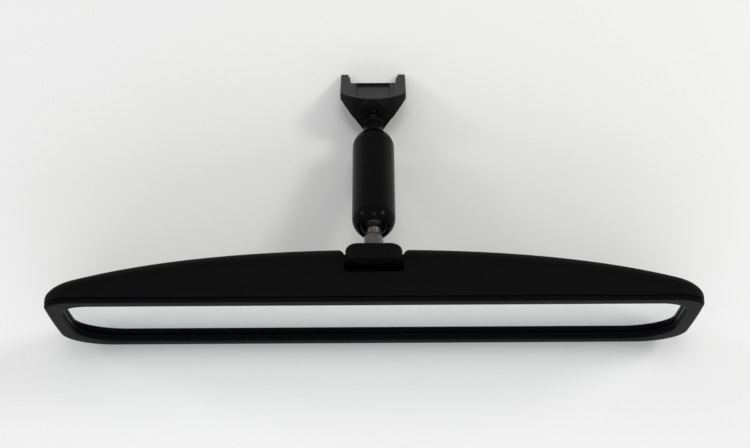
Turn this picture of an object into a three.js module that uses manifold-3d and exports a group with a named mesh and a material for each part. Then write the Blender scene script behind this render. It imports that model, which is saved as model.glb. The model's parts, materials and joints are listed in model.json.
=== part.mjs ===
import * as THREE from 'three';
import { mergeVertices } from 'three/addons/utils/BufferGeometryUtils.js';
import Module from 'manifold-3d';

// Interior day/night rearview mirror: a prismatic glass in a moulded head, a two-ball
// spring arm and a cast windshield bracket. It lies turned over on a table: the head stands
// on the edge that faces the roof in a car, and the bracket's ears touch the table.
// Millimetres. X runs along the head, Y from the glass to the bracket, Z up.
// While it is built, Y = 0 is the front of the bezel and Z = 0 the table.

// ---- driving dimensions ----

// Head outline and back
const headWidth = 254;
const headHeight = 59.4;
const sideBow = 0.8; // the short ends are this much narrower at top and bottom
const lowerCorner = { across: 19, up: 16 }; // elliptical corners of the outline
const upperCorner = { across: 11, up: 10 };
const hubRoom = 1.44; // from the toggle's hub to the back's long edges, at mid length
const backCrown = 2; // extra depth of the back at mid height
const crownFade = 0.35; // share of the crown that is lost at the ends
const endLead = 0.45; // the back's ends, swept forward, stand this far ahead of the glass's thick edge
const sweepCurve = 0.327; // share of the sweep that comes in late, near the ends
const backEdgeRadius = 6;
const edgeShare = 0.7; // most of the side's depth that the rounded edge may take
const housingWall = 2;

// Bezel and glass
const rimDepth = 1.6;
const rimEdgeRadius = 1.2;
const lipHeight = 6.6; // height of the bezel's front lip
const openingCornerGrowth = 6; // the opening's corners are rounder than an even lip gives
const glassSetback = 2.8;
const skirtDepth = 9.6;
const skirtWall = 1.5;
const skirtGap = 0.6; // room round the skirt, which snaps into the housing
const glassThickness = { bottom: 4.6, top: 2.2 }; // the prism's wedge
const padThickness = 0.8;
const padInset = 9;
const fitGap = 0.3; // clearance between pieces that touch on the real object

// Arm
const ballStandoff = 19.56; // from the back's crown to the ball behind the head
const ballRise = 3; // from the head's middle up to that ball
const armLength = 41.2; // ball to ball
const tubeWall = 1.3;
const mouthGrip = 0.64; // how much narrower the tube's mouths are than the balls
const ballRadius = 6.3;
const neckRadius = 2.9;
const linerThickness = 0.6;
const linerMouthAngle = 46; // degrees from the socket's axis
const linerBackAngle = 95;
const cupMouthAngle = 112;
const cupFloor = 3.2; // from the ball to the cup's back
const cupNose = { radius: 3.8, length: 2 };
const springWire = 0.9; // radius of the wire
const springTurns = 5;

// Head stud and the carrier that holds it
const studBend = 13.09; // degrees between the stud and the arm, the stud being the flatter
const shankAcross = 6.8;
const shankRoll = 12;
const shankInset = 0.3; // the shank starts this far inside the tube's outer radius
const shankEnd = 15.6; // from the ball's centre
const shankEdgeRadius = 4.2; // turned corner radius of the square shank
const tenonRadius = 2.5;
const washer = { radius: 5, thickness: 0.8 };
const nut = { acrossFlats: 8, thickness: 3.2 };
const carrierPlate = { halfWidth: 14.5, thickness: 2.6, behindBase: 3.2, belowPin: 5 };
const carrierBossRadius = 6;
const bossSwing = 1.6; // room for the boss to move in the housing's hole
const tiltPinPlace = { behindBase: 4.4, height: 14 };
const knuckleRadius = 3.3;
const pinRadius = 1.5;
const pinOverhang = 1.4; // of both pivot pins past the base's cheeks

// Day/night toggle
const springRoom = 1.8; // from the base plate to the lever's hub
const leverPinDrop = 10.9; // from the head's edge down to the lever's pin
const hubRadius = 2.8;
const webThickness = 3.6;
const webHalfWidth = 9;
const tab = { width: 21.8, aheadOfPin: 2.1, depth: 5.9, sink: 1.8, rise: 5.9 };
const tabCorner = { across: 4.8, up: 6, backAcross: 4.6, backDepth: 1.3 };
const tabScoop = { depth: 1.6, width: 17, rim: 1.2, archDrop: 2.4 };
const notch = { sideGap: 0.5, aheadOfTab: 3.6, abovePin: 3, flare: 3.2, flareDrop: 4.5 };
const finger = { inner: 6.5, outer: 10, thickness: 1.6, belowPin: 5.9 };

// Toggle base
const basePlate = { halfWidth: 29.5, bottom: 6, belowTop: 5.4, thickness: 1.2 };
const padRoom = 1.3; // spare depth between the pad and the screws' heads
const plateNotch = { sideGap: 1, drop: 0.6 }; // the plate stays clear of the housing's notch
const baseWindow = { halfWidth: 8, bottom: 26, belowPin: 2 };
const cheek = { inner: 17, thickness: 2, belowPin: 2.8, abovePin: 2.2, backGap: 0.4 };
const screwInset = { side: 4.5, end: 4.5 };
const screw = { radius: 1.3, length: 7.6, headRadius: 2.6, headHeight: 1.2 };
const bossRadius = 3.3;
const bumper = { across: 11.5, dayDrop: 7.5, nightDrop: 3.5, radius: 2, nightThickness: 0.5 };
const leaf = { thickness: 0.5, halfWidth: 5, footRise: 1.8, footDrop: 2.2, tip: 1.4, bend: 0.4 };

// Windshield bracket, in its own frame: Y runs down the channel, Z is square to the glass
const bracketLean = 44; // degrees that the channel slopes down
const neckAngle = 19.91; // from the channel's run up to the glass, degrees
const bracketWidth = 28.2;
const faceHeight = 18.7; // from the ball's centre to the face on the glass
const lipReach = 10.5; // front of the lip, at its middle
const lipCornerReach = 17.5;
const frontWallFoot = { reach: 13.4, height: 8.5 };
const earTip = { reach: 40.48, heelReach: 38.4, heelHeight: 15 };
const flareFullness = 0.6; // how fast the bell widens from the neck
const stubRadius = 4.05;
const stubGap = 0.4; // from the tube's outer radius to the neck's end
const stubTop = 17;
const channelDepth = 2.8;
const channelEnds = { front: 17.6, back: 21.4 }; // its width tapers with the button
const lipWall = 2;
const lipRound = 4; // across each of the channel's rounded front corners
const floorReach = 37.6; // far edge of the channel's floor
const recess = { width: 14.2, depth: 0.9, start: 13.4, end: 36.6 };
const undercut = { depth: 0.7, height: 1.1 };
const setScrew = {
  radius: 1.6,
  length: 4.5,
  foot: [11.3, 10.2],
  tip: [14.9, 15.6],
  socket: { radius: 0.9, depth: 1.8 },
};
const studPocket = { radius: 3.2, depth: 6 };

// ---- places that follow from the sizes above ----

const headMiddle = headHeight / 2;
const housingFront = rimDepth + fitGap;
const skirtInset = housingWall + skirtGap;
const glassInset = skirtInset + skirtWall + fitGap;

// Stacked back from the bezel's front: glass, pad, screw heads, base plate, toggle, back.
const endDepth = glassSetback + glassThickness.bottom - endLead;
const padBack = glassSetback + glassThickness.bottom + fitGap + padThickness;
const plateFront = padBack + padRoom + screw.headHeight + 2 * fitGap;
const plateBack = plateFront + basePlate.thickness;
const plateTop = headHeight - basePlate.belowTop;
const hubBack = plateBack + springRoom + 2 * hubRadius;
const backEdgeDepth = hubBack + hubRoom;
const carrierFront = plateBack + carrierPlate.behindBase;
const tiltPin = { depth: plateBack + tiltPinPlace.behindBase, height: tiltPinPlace.height };
const leverPin = {
  depth: plateBack + springRoom + hubRadius,
  height: headHeight - leverPinDrop,
};
const carrierTop = leverPin.height - carrierPlate.belowPin;
const tabFront = leverPin.depth - tab.aheadOfPin;
const tabBottom = headHeight - tab.sink;
const notchFront = tabFront - notch.aheadOfTab;
const notchFloor = leverPin.height + notch.abovePin;
const notchHalf = tab.width / 2 + notch.sideGap;
const hubHalfWidth = cheek.inner - fitGap; // the hub hides its pin between the cheeks
const fingerFront = carrierFront - 2 * fitGap - finger.thickness;
const screwPlaces = {
  across: basePlate.halfWidth - screwInset.side,
  low: basePlate.bottom + screwInset.end,
  high: plateTop - screwInset.end,
};

// Outwards from the ball: gap, liner, gap, tube.
const linerInner = ballRadius + fitGap;
const linerOuter = linerInner + linerThickness;
const seatRadius = linerOuter + fitGap;
const tubeRadius = seatRadius + tubeWall;
const socketMouthRadius = ballRadius - mouthGrip;
const cupRadius = seatRadius - fitGap;
const cupLength = ballRadius + cupFloor;
const shankStart = tubeRadius - shankInset;
const stubStart = tubeRadius + stubGap;
const nearBallDepth = backEdgeDepth + backCrown + ballStandoff;
const nearBallHeight = headMiddle + ballRise;

// ---- geometry helpers ----

const wasm = await Module();
wasm.setup();

const radians = THREE.MathUtils.degToRad;
const sine = (degrees) => Math.sin(radians(degrees));
const cosine = (degrees) => Math.cos(radians(degrees));

// Shared vertices, no collapsed triangles and faces that point outwards.
function welded(geometry) {
  const bare = geometry.clone();
  bare.deleteAttribute('normal');
  bare.deleteAttribute('uv');
  const merged = mergeVertices(bare, 1e-4);
  const index = merged.index.array;
  const place = merged.attributes.position;
  const corner = [new THREE.Vector3(), new THREE.Vector3(), new THREE.Vector3()];
  const kept = [];
  let volume = 0;
  for (let i = 0; i < index.length; i += 3) {
    const [a, b, c] = [index[i], index[i + 1], index[i + 2]];
    if (a === b || b === c || c === a) continue;
    kept.push(a, b, c);
    [a, b, c].forEach((vertex, k) => corner[k].fromBufferAttribute(place, vertex));
    volume += corner[0].dot(corner[1].clone().cross(corner[2]));
  }
  if (volume < 0) kept.reverse();
  merged.setIndex(kept);
  merged.computeVertexNormals();
  return merged;
}

function solidOf(geometry) {
  const clean = welded(geometry);
  const vertProperties = new Float32Array(clean.attributes.position.array);
  const triVerts = new Uint32Array(clean.index.array);
  return new wasm.Manifold(new wasm.Mesh({ numProp: 3, vertProperties, triVerts }));
}

function geometryOf(solid) {
  const mesh = solid.getMesh();
  const geometry = new THREE.BufferGeometry();
  geometry.setAttribute('position', new THREE.Float32BufferAttribute(mesh.vertProperties, 3));
  geometry.setIndex(new THREE.BufferAttribute(mesh.triVerts, 1));
  geometry.computeVertexNormals();
  return geometry;
}

// Solids added together, cut away from the first, or kept where they all overlap.
const combined = (step) => (first, ...others) =>
  geometryOf(others.reduce((solid, other) => step(solid, solidOf(other)), solidOf(first)));
const joined = combined((a, b) => a.add(b));
const cut = combined((a, b) => a.subtract(b));
const common = combined((a, b) => a.intersect(b));

// A box from its lowest to its highest corner.
function block(low, high) {
  const size = high.map((value, axis) => value - low[axis]);
  const middle = high.map((value, axis) => (value + low[axis]) / 2);
  return new THREE.BoxGeometry(...size).translate(...middle);
}

// A rod along X, Y or Z between two places on that axis.
function rod(axis, radius, from, to, across = [0, 0], sides = 24) {
  const geometry = new THREE.CylinderGeometry(radius, radius, to - from, sides);
  geometry.translate(0, (from + to) / 2, 0);
  if (axis === 'x') geometry.rotateZ(-Math.PI / 2).translate(0, across[0], across[1]);
  if (axis === 'y') geometry.translate(across[0], 0, across[1]);
  if (axis === 'z') geometry.rotateX(Math.PI / 2).translate(across[0], across[1], 0);
  return geometry;
}

// A solid of revolution about Y from points of [radius, height].
const turned = (points, sides = 32) =>
  new THREE.LatheGeometry(points.map(([radius, height]) => new THREE.Vector2(radius, height)), sides);

// Points of an arc about the origin, by the angle from the +Y axis in degrees.
function polarArc(radius, from, to, steps) {
  return Array.from({ length: steps + 1 }, (_, i) => {
    const angle = from + ((to - from) * i) / steps;
    return [radius * sine(angle), radius * cosine(angle)];
  });
}

// An outline in the YZ plane, drawn out along X to both sides.
function drawnAlongX(points, halfWidth) {
  const shape = new THREE.Shape(points.map(([y, z]) => new THREE.Vector2(y, z)));
  const geometry = new THREE.ExtrudeGeometry(shape, { depth: 2 * halfWidth, bevelEnabled: false });
  return geometry.translate(0, 0, -halfWidth).rotateZ(Math.PI / 2).rotateY(Math.PI / 2);
}

// An outline in the XZ plane, drawn out along Y.
function drawnAlongY(shape, from, to, curveSegments = 8) {
  const options = { depth: to - from, bevelEnabled: false, curveSegments };
  return new THREE.ExtrudeGeometry(shape, options).rotateX(Math.PI / 2).translate(0, to, 0);
}

// Rings of points joined into a skin: closed on itself, or capped at both ends.
function loft(rings, closed = false) {
  const count = rings[0].length;
  const position = rings.flat().flatMap((point) => [point.x, point.y, point.z]);
  const index = [];
  const bands = closed ? rings.length : rings.length - 1;
  for (let ring = 0; ring < bands; ring += 1) {
    const here = ring * count;
    const next = ((ring + 1) % rings.length) * count;
    for (let k = 0; k < count; k += 1) {
      const after = (k + 1) % count;
      index.push(here + k, here + after, next + after, here + k, next + after, next + k);
    }
  }
  const addCap = (ring, reversed) => {
    const middle = new THREE.Vector3();
    rings[ring].forEach((point) => middle.addScaledVector(point, 1 / count));
    const hub = position.length / 3;
    position.push(middle.x, middle.y, middle.z);
    for (let k = 0; k < count; k += 1) {
      const [a, b] = [ring * count + k, ring * count + ((k + 1) % count)];
      index.push(hub, reversed ? b : a, reversed ? a : b);
    }
  };
  if (!closed) {
    addCap(0, true);
    addCap(rings.length - 1, false);
  }
  const geometry = new THREE.BufferGeometry();
  geometry.setAttribute('position', new THREE.Float32BufferAttribute(position, 3));
  geometry.setIndex(index);
  return geometry;
}

// ---- the head's outline and back ----

function straight(from, to, steps) {
  return Array.from({ length: steps }, (_, i) => from.clone().lerp(to, i / steps));
}

function cornerArc(centre, across, up, from, steps) {
  return Array.from({ length: steps }, (_, i) => {
    const angle = from + (90 * i) / steps;
    return new THREE.Vector2(centre.x + across * cosine(angle), centre.y + up * sine(angle));
  });
}

// The head's outline in XZ, moved inwards by inset; always the same number of points.
function headOutline(inset = 0, cornerGrowth = 0) {
  const half = headWidth / 2 - inset;
  const [bottom, top] = [inset, headHeight - inset];
  const sized = (corner) => ({
    across: Math.max(corner.across - inset + cornerGrowth, 1),
    up: Math.max(corner.up - inset + cornerGrowth, 1),
  });
  const low = sized(lowerCorner);
  const high = sized(upperCorner);
  const lowCentre = new THREE.Vector2(half - low.across, bottom + low.up);
  const highCentre = new THREE.Vector2(half - high.across, top - high.up);
  const mirrored = (point) => new THREE.Vector2(-point.x, point.y);
  const at = (x, z) => new THREE.Vector2(x, z);
  const points = [
    ...straight(at(-lowCentre.x, bottom), at(lowCentre.x, bottom), 12),
    ...cornerArc(lowCentre, low.across, low.up, -90, 5),
    ...straight(at(half, lowCentre.y), at(half, highCentre.y), 2),
    ...cornerArc(highCentre, high.across, high.up, 0, 4),
    ...straight(at(highCentre.x, top), at(-highCentre.x, top), 14),
    ...cornerArc(mirrored(highCentre), high.across, high.up, 90, 4),
    ...straight(at(-half, highCentre.y), at(-half, lowCentre.y), 2),
    ...cornerArc(mirrored(lowCentre), low.across, low.up, 180, 5),
  ];
  for (const point of points) {
    const fromMiddle = (point.y - headMiddle) / headMiddle;
    point.x *= 1 - (2 * sideBow * fromMiddle ** 2) / headWidth;
  }
  return points;
}

const ringAt = (outline, depthOf) =>
  outline.map((point) => new THREE.Vector3(point.x, depthOf(point), point.y));

// Depth of the back at a point of the head, measured from the bezel's front.
function backDepth(point) {
  const along = (2 * point.x) / headWidth;
  const up = (point.y - headMiddle) / headMiddle;
  const sweep = (backEdgeDepth - endDepth) * ((1 - sweepCurve) * along ** 2 + sweepCurve * along ** 4);
  return backEdgeDepth - sweep + backCrown * (1 - up ** 2) * (1 - crownFade * along ** 2);
}

// How far the rounded edge falls short of the back's full depth, turn degrees round the edge.
function edgeDrop(point, wall, turn) {
  const room = edgeShare * (backDepth(point) - wall - housingFront);
  return Math.min(backEdgeRadius - wall, room) * (1 - sine(turn));
}

// The bucket shape of the back: wall, rounded edge, then a crowned face that closes at its middle.
function bucket(wall, front) {
  const radius = backEdgeRadius - wall;
  const rings = [ringAt(headOutline(wall), () => front)];
  const edgeSteps = 4;
  for (let step = 0; step <= edgeSteps; step += 1) {
    const turn = (90 * step) / edgeSteps;
    const outline = headOutline(wall + radius * (1 - cosine(turn)));
    rings.push(ringAt(outline, (p) => backDepth(p) - wall - edgeDrop(p, wall, turn)));
  }
  const faceEdge = headOutline(wall + radius);
  const faceSteps = 5;
  for (let step = 1; step < faceSteps; step += 1) {
    const share = 1 - step / faceSteps;
    const centre = new THREE.Vector2(0, headMiddle);
    const shrunk = faceEdge.map((p) => centre.clone().lerp(p, share));
    rings.push(ringAt(shrunk, (p) => backDepth(p) - wall));
  }
  return loft(rings);
}

// ---- materials ----

const finish = (color, roughness, metalness = 0) =>
  new THREE.MeshStandardMaterial({ color, roughness, metalness });
const grainedBlack = finish(0x161617, 0.62);
const bezelBlack = finish(0x18191c, 0.4);
const mirrorSilver = finish(0xd6dad8, 0.03, 1);
const foamGrey = finish(0x3a3a3c, 0.95);
const carrierBlack = finish(0x202124, 0.55);
const galvanised = finish(0xa9adb0, 0.38, 1);
const zincPlate = finish(0xc7cbcc, 0.28, 1);
const springSteel = finish(0x8d9195, 0.35, 1);
const rubberBlack = finish(0x131313, 0.9);
const linerGrey = finish(0x54565a, 0.5);
const tubeBlack = finish(0x121214, 0.36, 0.2);
const castBlack = finish(0x1b1b1d, 0.4, 0.3);
const blackOxide = finish(0x171719, 0.4, 0.5);

const mirror = new THREE.Group();

function addPiece(parent, name, geometry, material) {
  const mesh = new THREE.Mesh(welded(geometry), material);
  mesh.name = name;
  parent.add(mesh);
  return mesh;
}

// ---- frames of the arm ----

// The bracket's heel stands on the table, so it sets the far ball's height and the arm's slope.
const farBallHeight =
  earTip.heelReach * sine(bracketLean) - earTip.heelHeight * cosine(bracketLean);
const armSlope = Math.asin((nearBallHeight - farBallHeight) / armLength);
const nearBall = new THREE.Vector3(0, nearBallDepth, nearBallHeight);
const farBallDepth = nearBallDepth + armLength * Math.cos(armSlope);
const farBall = new THREE.Vector3(0, farBallDepth, farBallHeight);

function frame(parent, place, turnX = 0, turnZ = 0) {
  const group = new THREE.Group();
  group.position.copy(place);
  group.rotation.set(turnX, 0, turnZ);
  parent.add(group);
  return group;
}

const origin = new THREE.Vector3();
const studRise = THREE.MathUtils.radToDeg(armSlope) - studBend; // from the ball up to the head
const armFrame = frame(mirror, nearBall, -armSlope);
const nearSocket = frame(armFrame, origin, 0, Math.PI); // +Y points out of the tube, to the head
const farSocket = frame(armFrame, new THREE.Vector3(0, armLength, 0));
const studFrame = frame(frame(mirror, nearBall, -radians(studRise)), origin, 0, Math.PI);
const bracketFrame = frame(mirror, farBall, -radians(bracketLean));
const bracketNeck = frame(bracketFrame, origin, radians(neckAngle));

// Height of the stud's axis at a depth in the head.
const studHeightAt = (depth) =>
  nearBallHeight + (nearBallDepth - depth) * Math.tan(radians(studRise));
// Distance along the stud's axis from the ball to a depth in the head.
const alongStud = (depth) => (nearBallDepth - depth) / cosine(studRise);

// A piece made about the stud's axis, brought into the head's own axes.
function fromStudFrame(geometry) {
  studFrame.updateWorldMatrix(true, false);
  return geometry.clone().applyMatrix4(studFrame.matrixWorld);
}

// ---- head shells and glass ----

function notchCutter() {
  const half = notchHalf;
  const behind = backEdgeDepth + backCrown + 2 * backEdgeRadius;
  const above = headHeight + 1;
  const overlap = half - 0.5;
  const flareFloor = notchFloor - notch.flareDrop;
  const slot = block([-half, notchFront, notchFloor], [half, behind, above]);
  const flareStart = backEdgeDepth - notch.flare;
  const wings = [-1, 1].map((side) => {
    const shape = new THREE.Shape();
    shape.moveTo(side * overlap, flareStart);
    shape.lineTo(side * half, flareStart);
    shape.lineTo(side * (half + notch.flare), backEdgeDepth);
    shape.lineTo(side * (half + notch.flare), behind);
    shape.lineTo(side * overlap, behind);
    const options = { depth: above - flareFloor, bevelEnabled: false };
    return new THREE.ExtrudeGeometry(shape, options).translate(0, 0, flareFloor);
  });
  return joined(slot, ...wings);
}

const forEachScrew = (visit) =>
  [screwPlaces.low, screwPlaces.high].flatMap((z) =>
    [-1, 1].map((side) => visit(side * screwPlaces.across, z)),
  );

function rearHousing() {
  const outer = bucket(0, housingFront);
  const inner = bucket(housingWall, housingFront - 1);
  const bossFront = plateBack + fitGap;
  const bossBack = backEdgeDepth + backCrown;
  const bosses = forEachScrew((x, z) =>
    common(rod('y', bossRadius, bossFront, bossBack, [x, z]), outer),
  );
  const pilots = forEachScrew((x, z) => {
    const end = plateFront + screw.length + 2 * fitGap;
    return rod('y', screw.radius + fitGap, bossFront - 1, end, [x, z], 16);
  });
  const studHoleHeight = studHeightAt(backEdgeDepth + backCrown);
  const holeRadius = carrierBossRadius + bossSwing;
  const behind = bossBack + backEdgeRadius;
  const studHole = rod('y', holeRadius, carrierFront, behind, [0, studHoleHeight], 32);
  const shell = joined(cut(outer, inner), ...bosses);
  return cut(shell, ...pilots, studHole, notchCutter());
}

// The snap skirt stops short of the housing's inside, which comes forward at the ends.
function skirtEnd(point) {
  const turn = THREE.MathUtils.radToDeg(Math.acos(1 - skirtGap / (backEdgeRadius - housingWall)));
  const inside = backDepth(point) - housingWall - edgeDrop(point, housingWall, turn);
  return Math.min(skirtDepth, inside - skirtGap);
}

function frontBezel() {
  const edge = rimEdgeRadius;
  const bevel = edge * (1 - cosine(45));
  const ledge = glassSetback - fitGap;
  const growth = openingCornerGrowth;
  const section = [
    { inset: 0, depth: rimDepth },
    { inset: 0, depth: edge },
    { inset: bevel, depth: bevel },
    { inset: edge, depth: 0 },
    { inset: lipHeight - edge, depth: 0, growth },
    { inset: lipHeight - bevel, depth: bevel, growth },
    { inset: lipHeight, depth: edge, growth },
    { inset: lipHeight, depth: ledge, growth },
    { inset: skirtInset + skirtWall, depth: ledge },
    { inset: skirtInset + skirtWall, depth: skirtEnd },
    { inset: skirtInset, depth: skirtEnd },
    { inset: skirtInset, depth: rimDepth },
  ];
  const rings = section.map((corner) => {
    const depthOf = typeof corner.depth === 'number' ? () => corner.depth : corner.depth;
    return ringAt(headOutline(corner.inset, corner.growth ?? 0), depthOf);
  });
  return loft(rings, true);
}

const glassBack = (point) => {
  const share = point.y / headHeight;
  return glassSetback + glassThickness.bottom + (glassThickness.top - glassThickness.bottom) * share;
};

function mirrorGlass() {
  const outline = headOutline(glassInset);
  return loft([ringAt(outline, () => glassSetback), ringAt(outline, glassBack)]);
}

function backingPad() {
  const outline = headOutline(glassInset + padInset);
  const front = (point) => glassBack(point) + fitGap;
  return loft([ringAt(outline, front), ringAt(outline, (point) => front(point) + padThickness)]);
}

addPiece(mirror, 'rear_housing', rearHousing(), grainedBlack);
addPiece(mirror, 'front_bezel', frontBezel(), bezelBlack);
addPiece(mirror, 'mirror_glass', mirrorGlass(), mirrorSilver);
addPiece(mirror, 'glass_backing_pad', backingPad(), foamGrey);

// ---- toggle base, its screws and stops ----

function toggleBase() {
  const { halfWidth, bottom } = basePlate;
  const plate = block([-halfWidth, plateFront, bottom], [halfWidth, plateBack, plateTop]);
  const opening = block(
    [-baseWindow.halfWidth, plateFront - 1, baseWindow.bottom],
    [baseWindow.halfWidth, plateBack + 1, leverPin.height - baseWindow.belowPin],
  );
  const top = leverPin.height + cheek.abovePin;
  const corner = new THREE.Vector2(cheek.inner + cheek.thickness, top);
  const back = backDepth(corner) - housingWall - cheek.backGap;
  const cheeks = [-1, 1].map((side) => {
    const [inner, outer] = [side * cheek.inner, side * (cheek.inner + cheek.thickness)];
    const front = plateBack - basePlate.thickness / 3;
    const low = [Math.min(inner, outer), front, tiltPin.height - cheek.belowPin];
    return block(low, [Math.max(inner, outer), back, top]);
  });
  const reach = cheek.inner + cheek.thickness + 1;
  const pinHoles = [tiltPin, leverPin].map(({ depth, height }) =>
    rod('x', pinRadius + fitGap, -reach, reach, [depth, height], 20),
  );
  const screwHoles = forEachScrew((x, z) =>
    rod('y', screw.radius + fitGap, plateFront - 1, plateBack + 1, [x, z], 16),
  );
  const clear = notchHalf + plateNotch.sideGap;
  const dip = block(
    [-clear, plateFront - 1, notchFloor - plateNotch.drop],
    [clear, plateBack + 1, plateTop + 1],
  );
  return cut(joined(plate, ...cheeks), opening, dip, ...pinHoles, ...screwHoles);
}

function baseScrew() {
  const { radius, length, headRadius, headHeight: domeHeight } = screw;
  const body = turned([
    [0, -domeHeight],
    [headRadius * 0.6, -domeHeight],
    [headRadius, -domeHeight * 0.4],
    [headRadius, 0],
    [radius, 0],
    [radius, length - 1],
    [0, length],
  ], 20);
  const slot = block([-headRadius, -domeHeight - 1, -0.3], [headRadius, -domeHeight / 2, 0.3]);
  return cut(body, slot);
}

function pivotPin(place) {
  const reach = cheek.inner + cheek.thickness + pinOverhang;
  return rod('x', pinRadius, -reach, reach, [place.depth, place.height], 20);
}

// A hairpin strip: its foot lies on the base plate and its other leg presses on the lever's hub.
function toggleSpring() {
  const { thickness, halfWidth, footRise, footDrop, tip, bend } = leaf;
  const wall = plateBack + fitGap;
  const touch = leverPin.depth - hubRadius - fitGap;
  const [high, low] = [leverPin.height + footRise, leverPin.height - footDrop];
  const outline = [
    [wall, high],
    [wall, low],
    [wall + bend, low - bend],
    [touch - bend, low - bend],
    [touch, low],
    [touch, leverPin.height + tip],
    [touch - thickness, leverPin.height + tip],
    [touch - thickness, low + thickness],
    [wall + thickness, low + thickness],
    [wall + thickness, high],
  ];
  return drawnAlongX(outline, halfWidth);
}

addPiece(mirror, 'toggle_base', toggleBase(), galvanised);
forEachScrew((x, z) => [x, z]).forEach(([x, z], i) => {
  const piece = addPiece(mirror, `base_screw_${i + 1}`, baseScrew(), zincPlate);
  piece.position.set(x, plateFront - fitGap, z);
});
addPiece(mirror, 'lever_pivot_pin', pivotPin(leverPin), zincPlate);
addPiece(mirror, 'tilt_pivot_pin', pivotPin(tiltPin), zincPlate);
addPiece(mirror, 'toggle_spring', toggleSpring(), springSteel);
for (const [name, side] of [['left', -1], ['right', 1]]) {
  const across = side * bumper.across;
  const dayPlace = [across, carrierTop - bumper.dayDrop];
  const day = rod('y', bumper.radius, plateBack + fitGap, carrierFront - fitGap, dayPlace, 20);
  addPiece(mirror, `day_stop_${name}`, day, rubberBlack);
  const nightHeight = carrierTop - bumper.nightDrop;
  const corner = new THREE.Vector2(bumper.across, nightHeight).addScalar(bumper.radius);
  const nightBack = backDepth(corner) - housingWall - fitGap;
  const nightFront = nightBack - bumper.nightThickness;
  const night = rod('y', bumper.radius, nightFront, nightBack, [across, nightHeight], 20);
  addPiece(mirror, `night_stop_${name}`, night, rubberBlack);
}

// ---- stud carrier ----

// The washer and the nut sit in a round seat in the plate's front.
const seatDepth = alongStud(carrierFront + 1);

function studCarrier() {
  const { halfWidth, thickness } = carrierPlate;
  const back = carrierFront + thickness;
  const plate = block([-halfWidth, carrierFront, tiltPin.height], [halfWidth, back, carrierTop]);
  const knuckle = rod('x', knuckleRadius, -halfWidth, halfWidth, [tiltPin.depth, tiltPin.height], 28);
  const bossLength = alongStud(back - 1);
  const boss = rod('y', carrierBossRadius, shankEnd + fitGap, bossLength, [0, 0], 32);
  const reach = halfWidth + 1;
  const pinBore = rod('x', pinRadius + fitGap, -reach, reach, [tiltPin.depth, tiltPin.height], 20);
  const clear = alongStud(carrierFront) + thickness;
  const tenonBore = rod('y', tenonRadius + fitGap, shankEnd - 1, clear, [0, 0], 20);
  const nutSeat = rod('y', washer.radius + fitGap, seatDepth, seatDepth + 8, [0, 0], 32);
  const body = joined(plate, knuckle, fromStudFrame(boss));
  return cut(body, pinBore, fromStudFrame(tenonBore), fromStudFrame(nutSeat));
}

const washerStart = seatDepth + fitGap;
const nutStart = washerStart + washer.thickness + fitGap;

// Degrees from a ball's middle plane to where its neck starts.
const neckFoot = THREE.MathUtils.radToDeg(Math.acos(neckRadius / ballRadius));

function headBallStud() {
  const tenonEnd = nutStart + nut.thickness + fitGap;
  const core = turned([
    ...polarArc(ballRadius, 180, 90 - neckFoot, 12),
    [neckRadius, shankStart],
    [shankAcross / 2, shankStart],
    [shankEdgeRadius, shankStart + 1],
    [shankEdgeRadius, shankEnd],
    [tenonRadius, shankEnd],
    [tenonRadius, tenonEnd],
    [0, tenonEnd],
  ]);
  const flat = shankAcross / 2;
  const beyond = 2 * shankAcross;
  const flats = [0, 1, 2, 3].map((quarter) => {
    const slab = block([flat, shankStart - 0.05, -beyond], [beyond, shankEnd + 0.05, beyond]);
    return slab.rotateY(radians(90 * quarter + shankRoll));
  });
  return cut(core, ...flats);
}

function washerRing() {
  const bore = tenonRadius + fitGap;
  const { radius, thickness } = washer;
  return turned([[bore, 0], [radius, 0], [radius, thickness], [bore, thickness], [bore, 0]], 28);
}

function hexNut() {
  const corner = nut.acrossFlats / 2 / cosine(30);
  const body = rod('y', corner, 0, nut.thickness, [0, 0], 6);
  return cut(body, rod('y', tenonRadius + fitGap, -1, nut.thickness + 1, [0, 0], 20));
}

addPiece(mirror, 'stud_carrier', studCarrier(), carrierBlack);
addPiece(studFrame, 'head_ball_stud', headBallStud(), zincPlate);
addPiece(studFrame, 'stud_washer', washerRing(), zincPlate).position.set(0, washerStart, 0);
addPiece(studFrame, 'stud_nut', hexNut(), zincPlate).position.set(0, nutStart, 0);

// ---- toggle lever with its finger tab ----

const tabTop = headHeight + tab.rise;

// The finger tab: rounded at its top corners, and at its back corners seen from above.
function fingerTab() {
  const half = tab.width / 2;
  const { across, up, backAcross, backDepth: backUp } = tabCorner;
  const face = new THREE.Shape();
  face.moveTo(-half, tabBottom);
  face.lineTo(half, tabBottom);
  face.lineTo(half, tabTop - up);
  face.absellipse(half - across, tabTop - up, across, up, 0, 0.5 * Math.PI, false);
  face.absellipse(across - half, tabTop - up, across, up, 0.5 * Math.PI, Math.PI, false);
  const [front, back] = [tabFront, tabFront + tab.depth];
  const plan = new THREE.Shape();
  plan.moveTo(-half, front);
  plan.lineTo(half, front);
  plan.lineTo(half, back - backUp);
  plan.absellipse(half - backAcross, back - backUp, backAcross, backUp, 0, 0.5 * Math.PI, false);
  plan.absellipse(backAcross - half, back - backUp, backAcross, backUp, 0.5 * Math.PI, Math.PI, false);
  const options = { depth: tabTop - tabBottom + 2, bevelEnabled: false, curveSegments: 8 };
  const seenFromAbove = new THREE.ExtrudeGeometry(plan, options).translate(0, 0, tabBottom - 1);
  return common(drawnAlongY(face, front, back), seenFromAbove);
}

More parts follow.
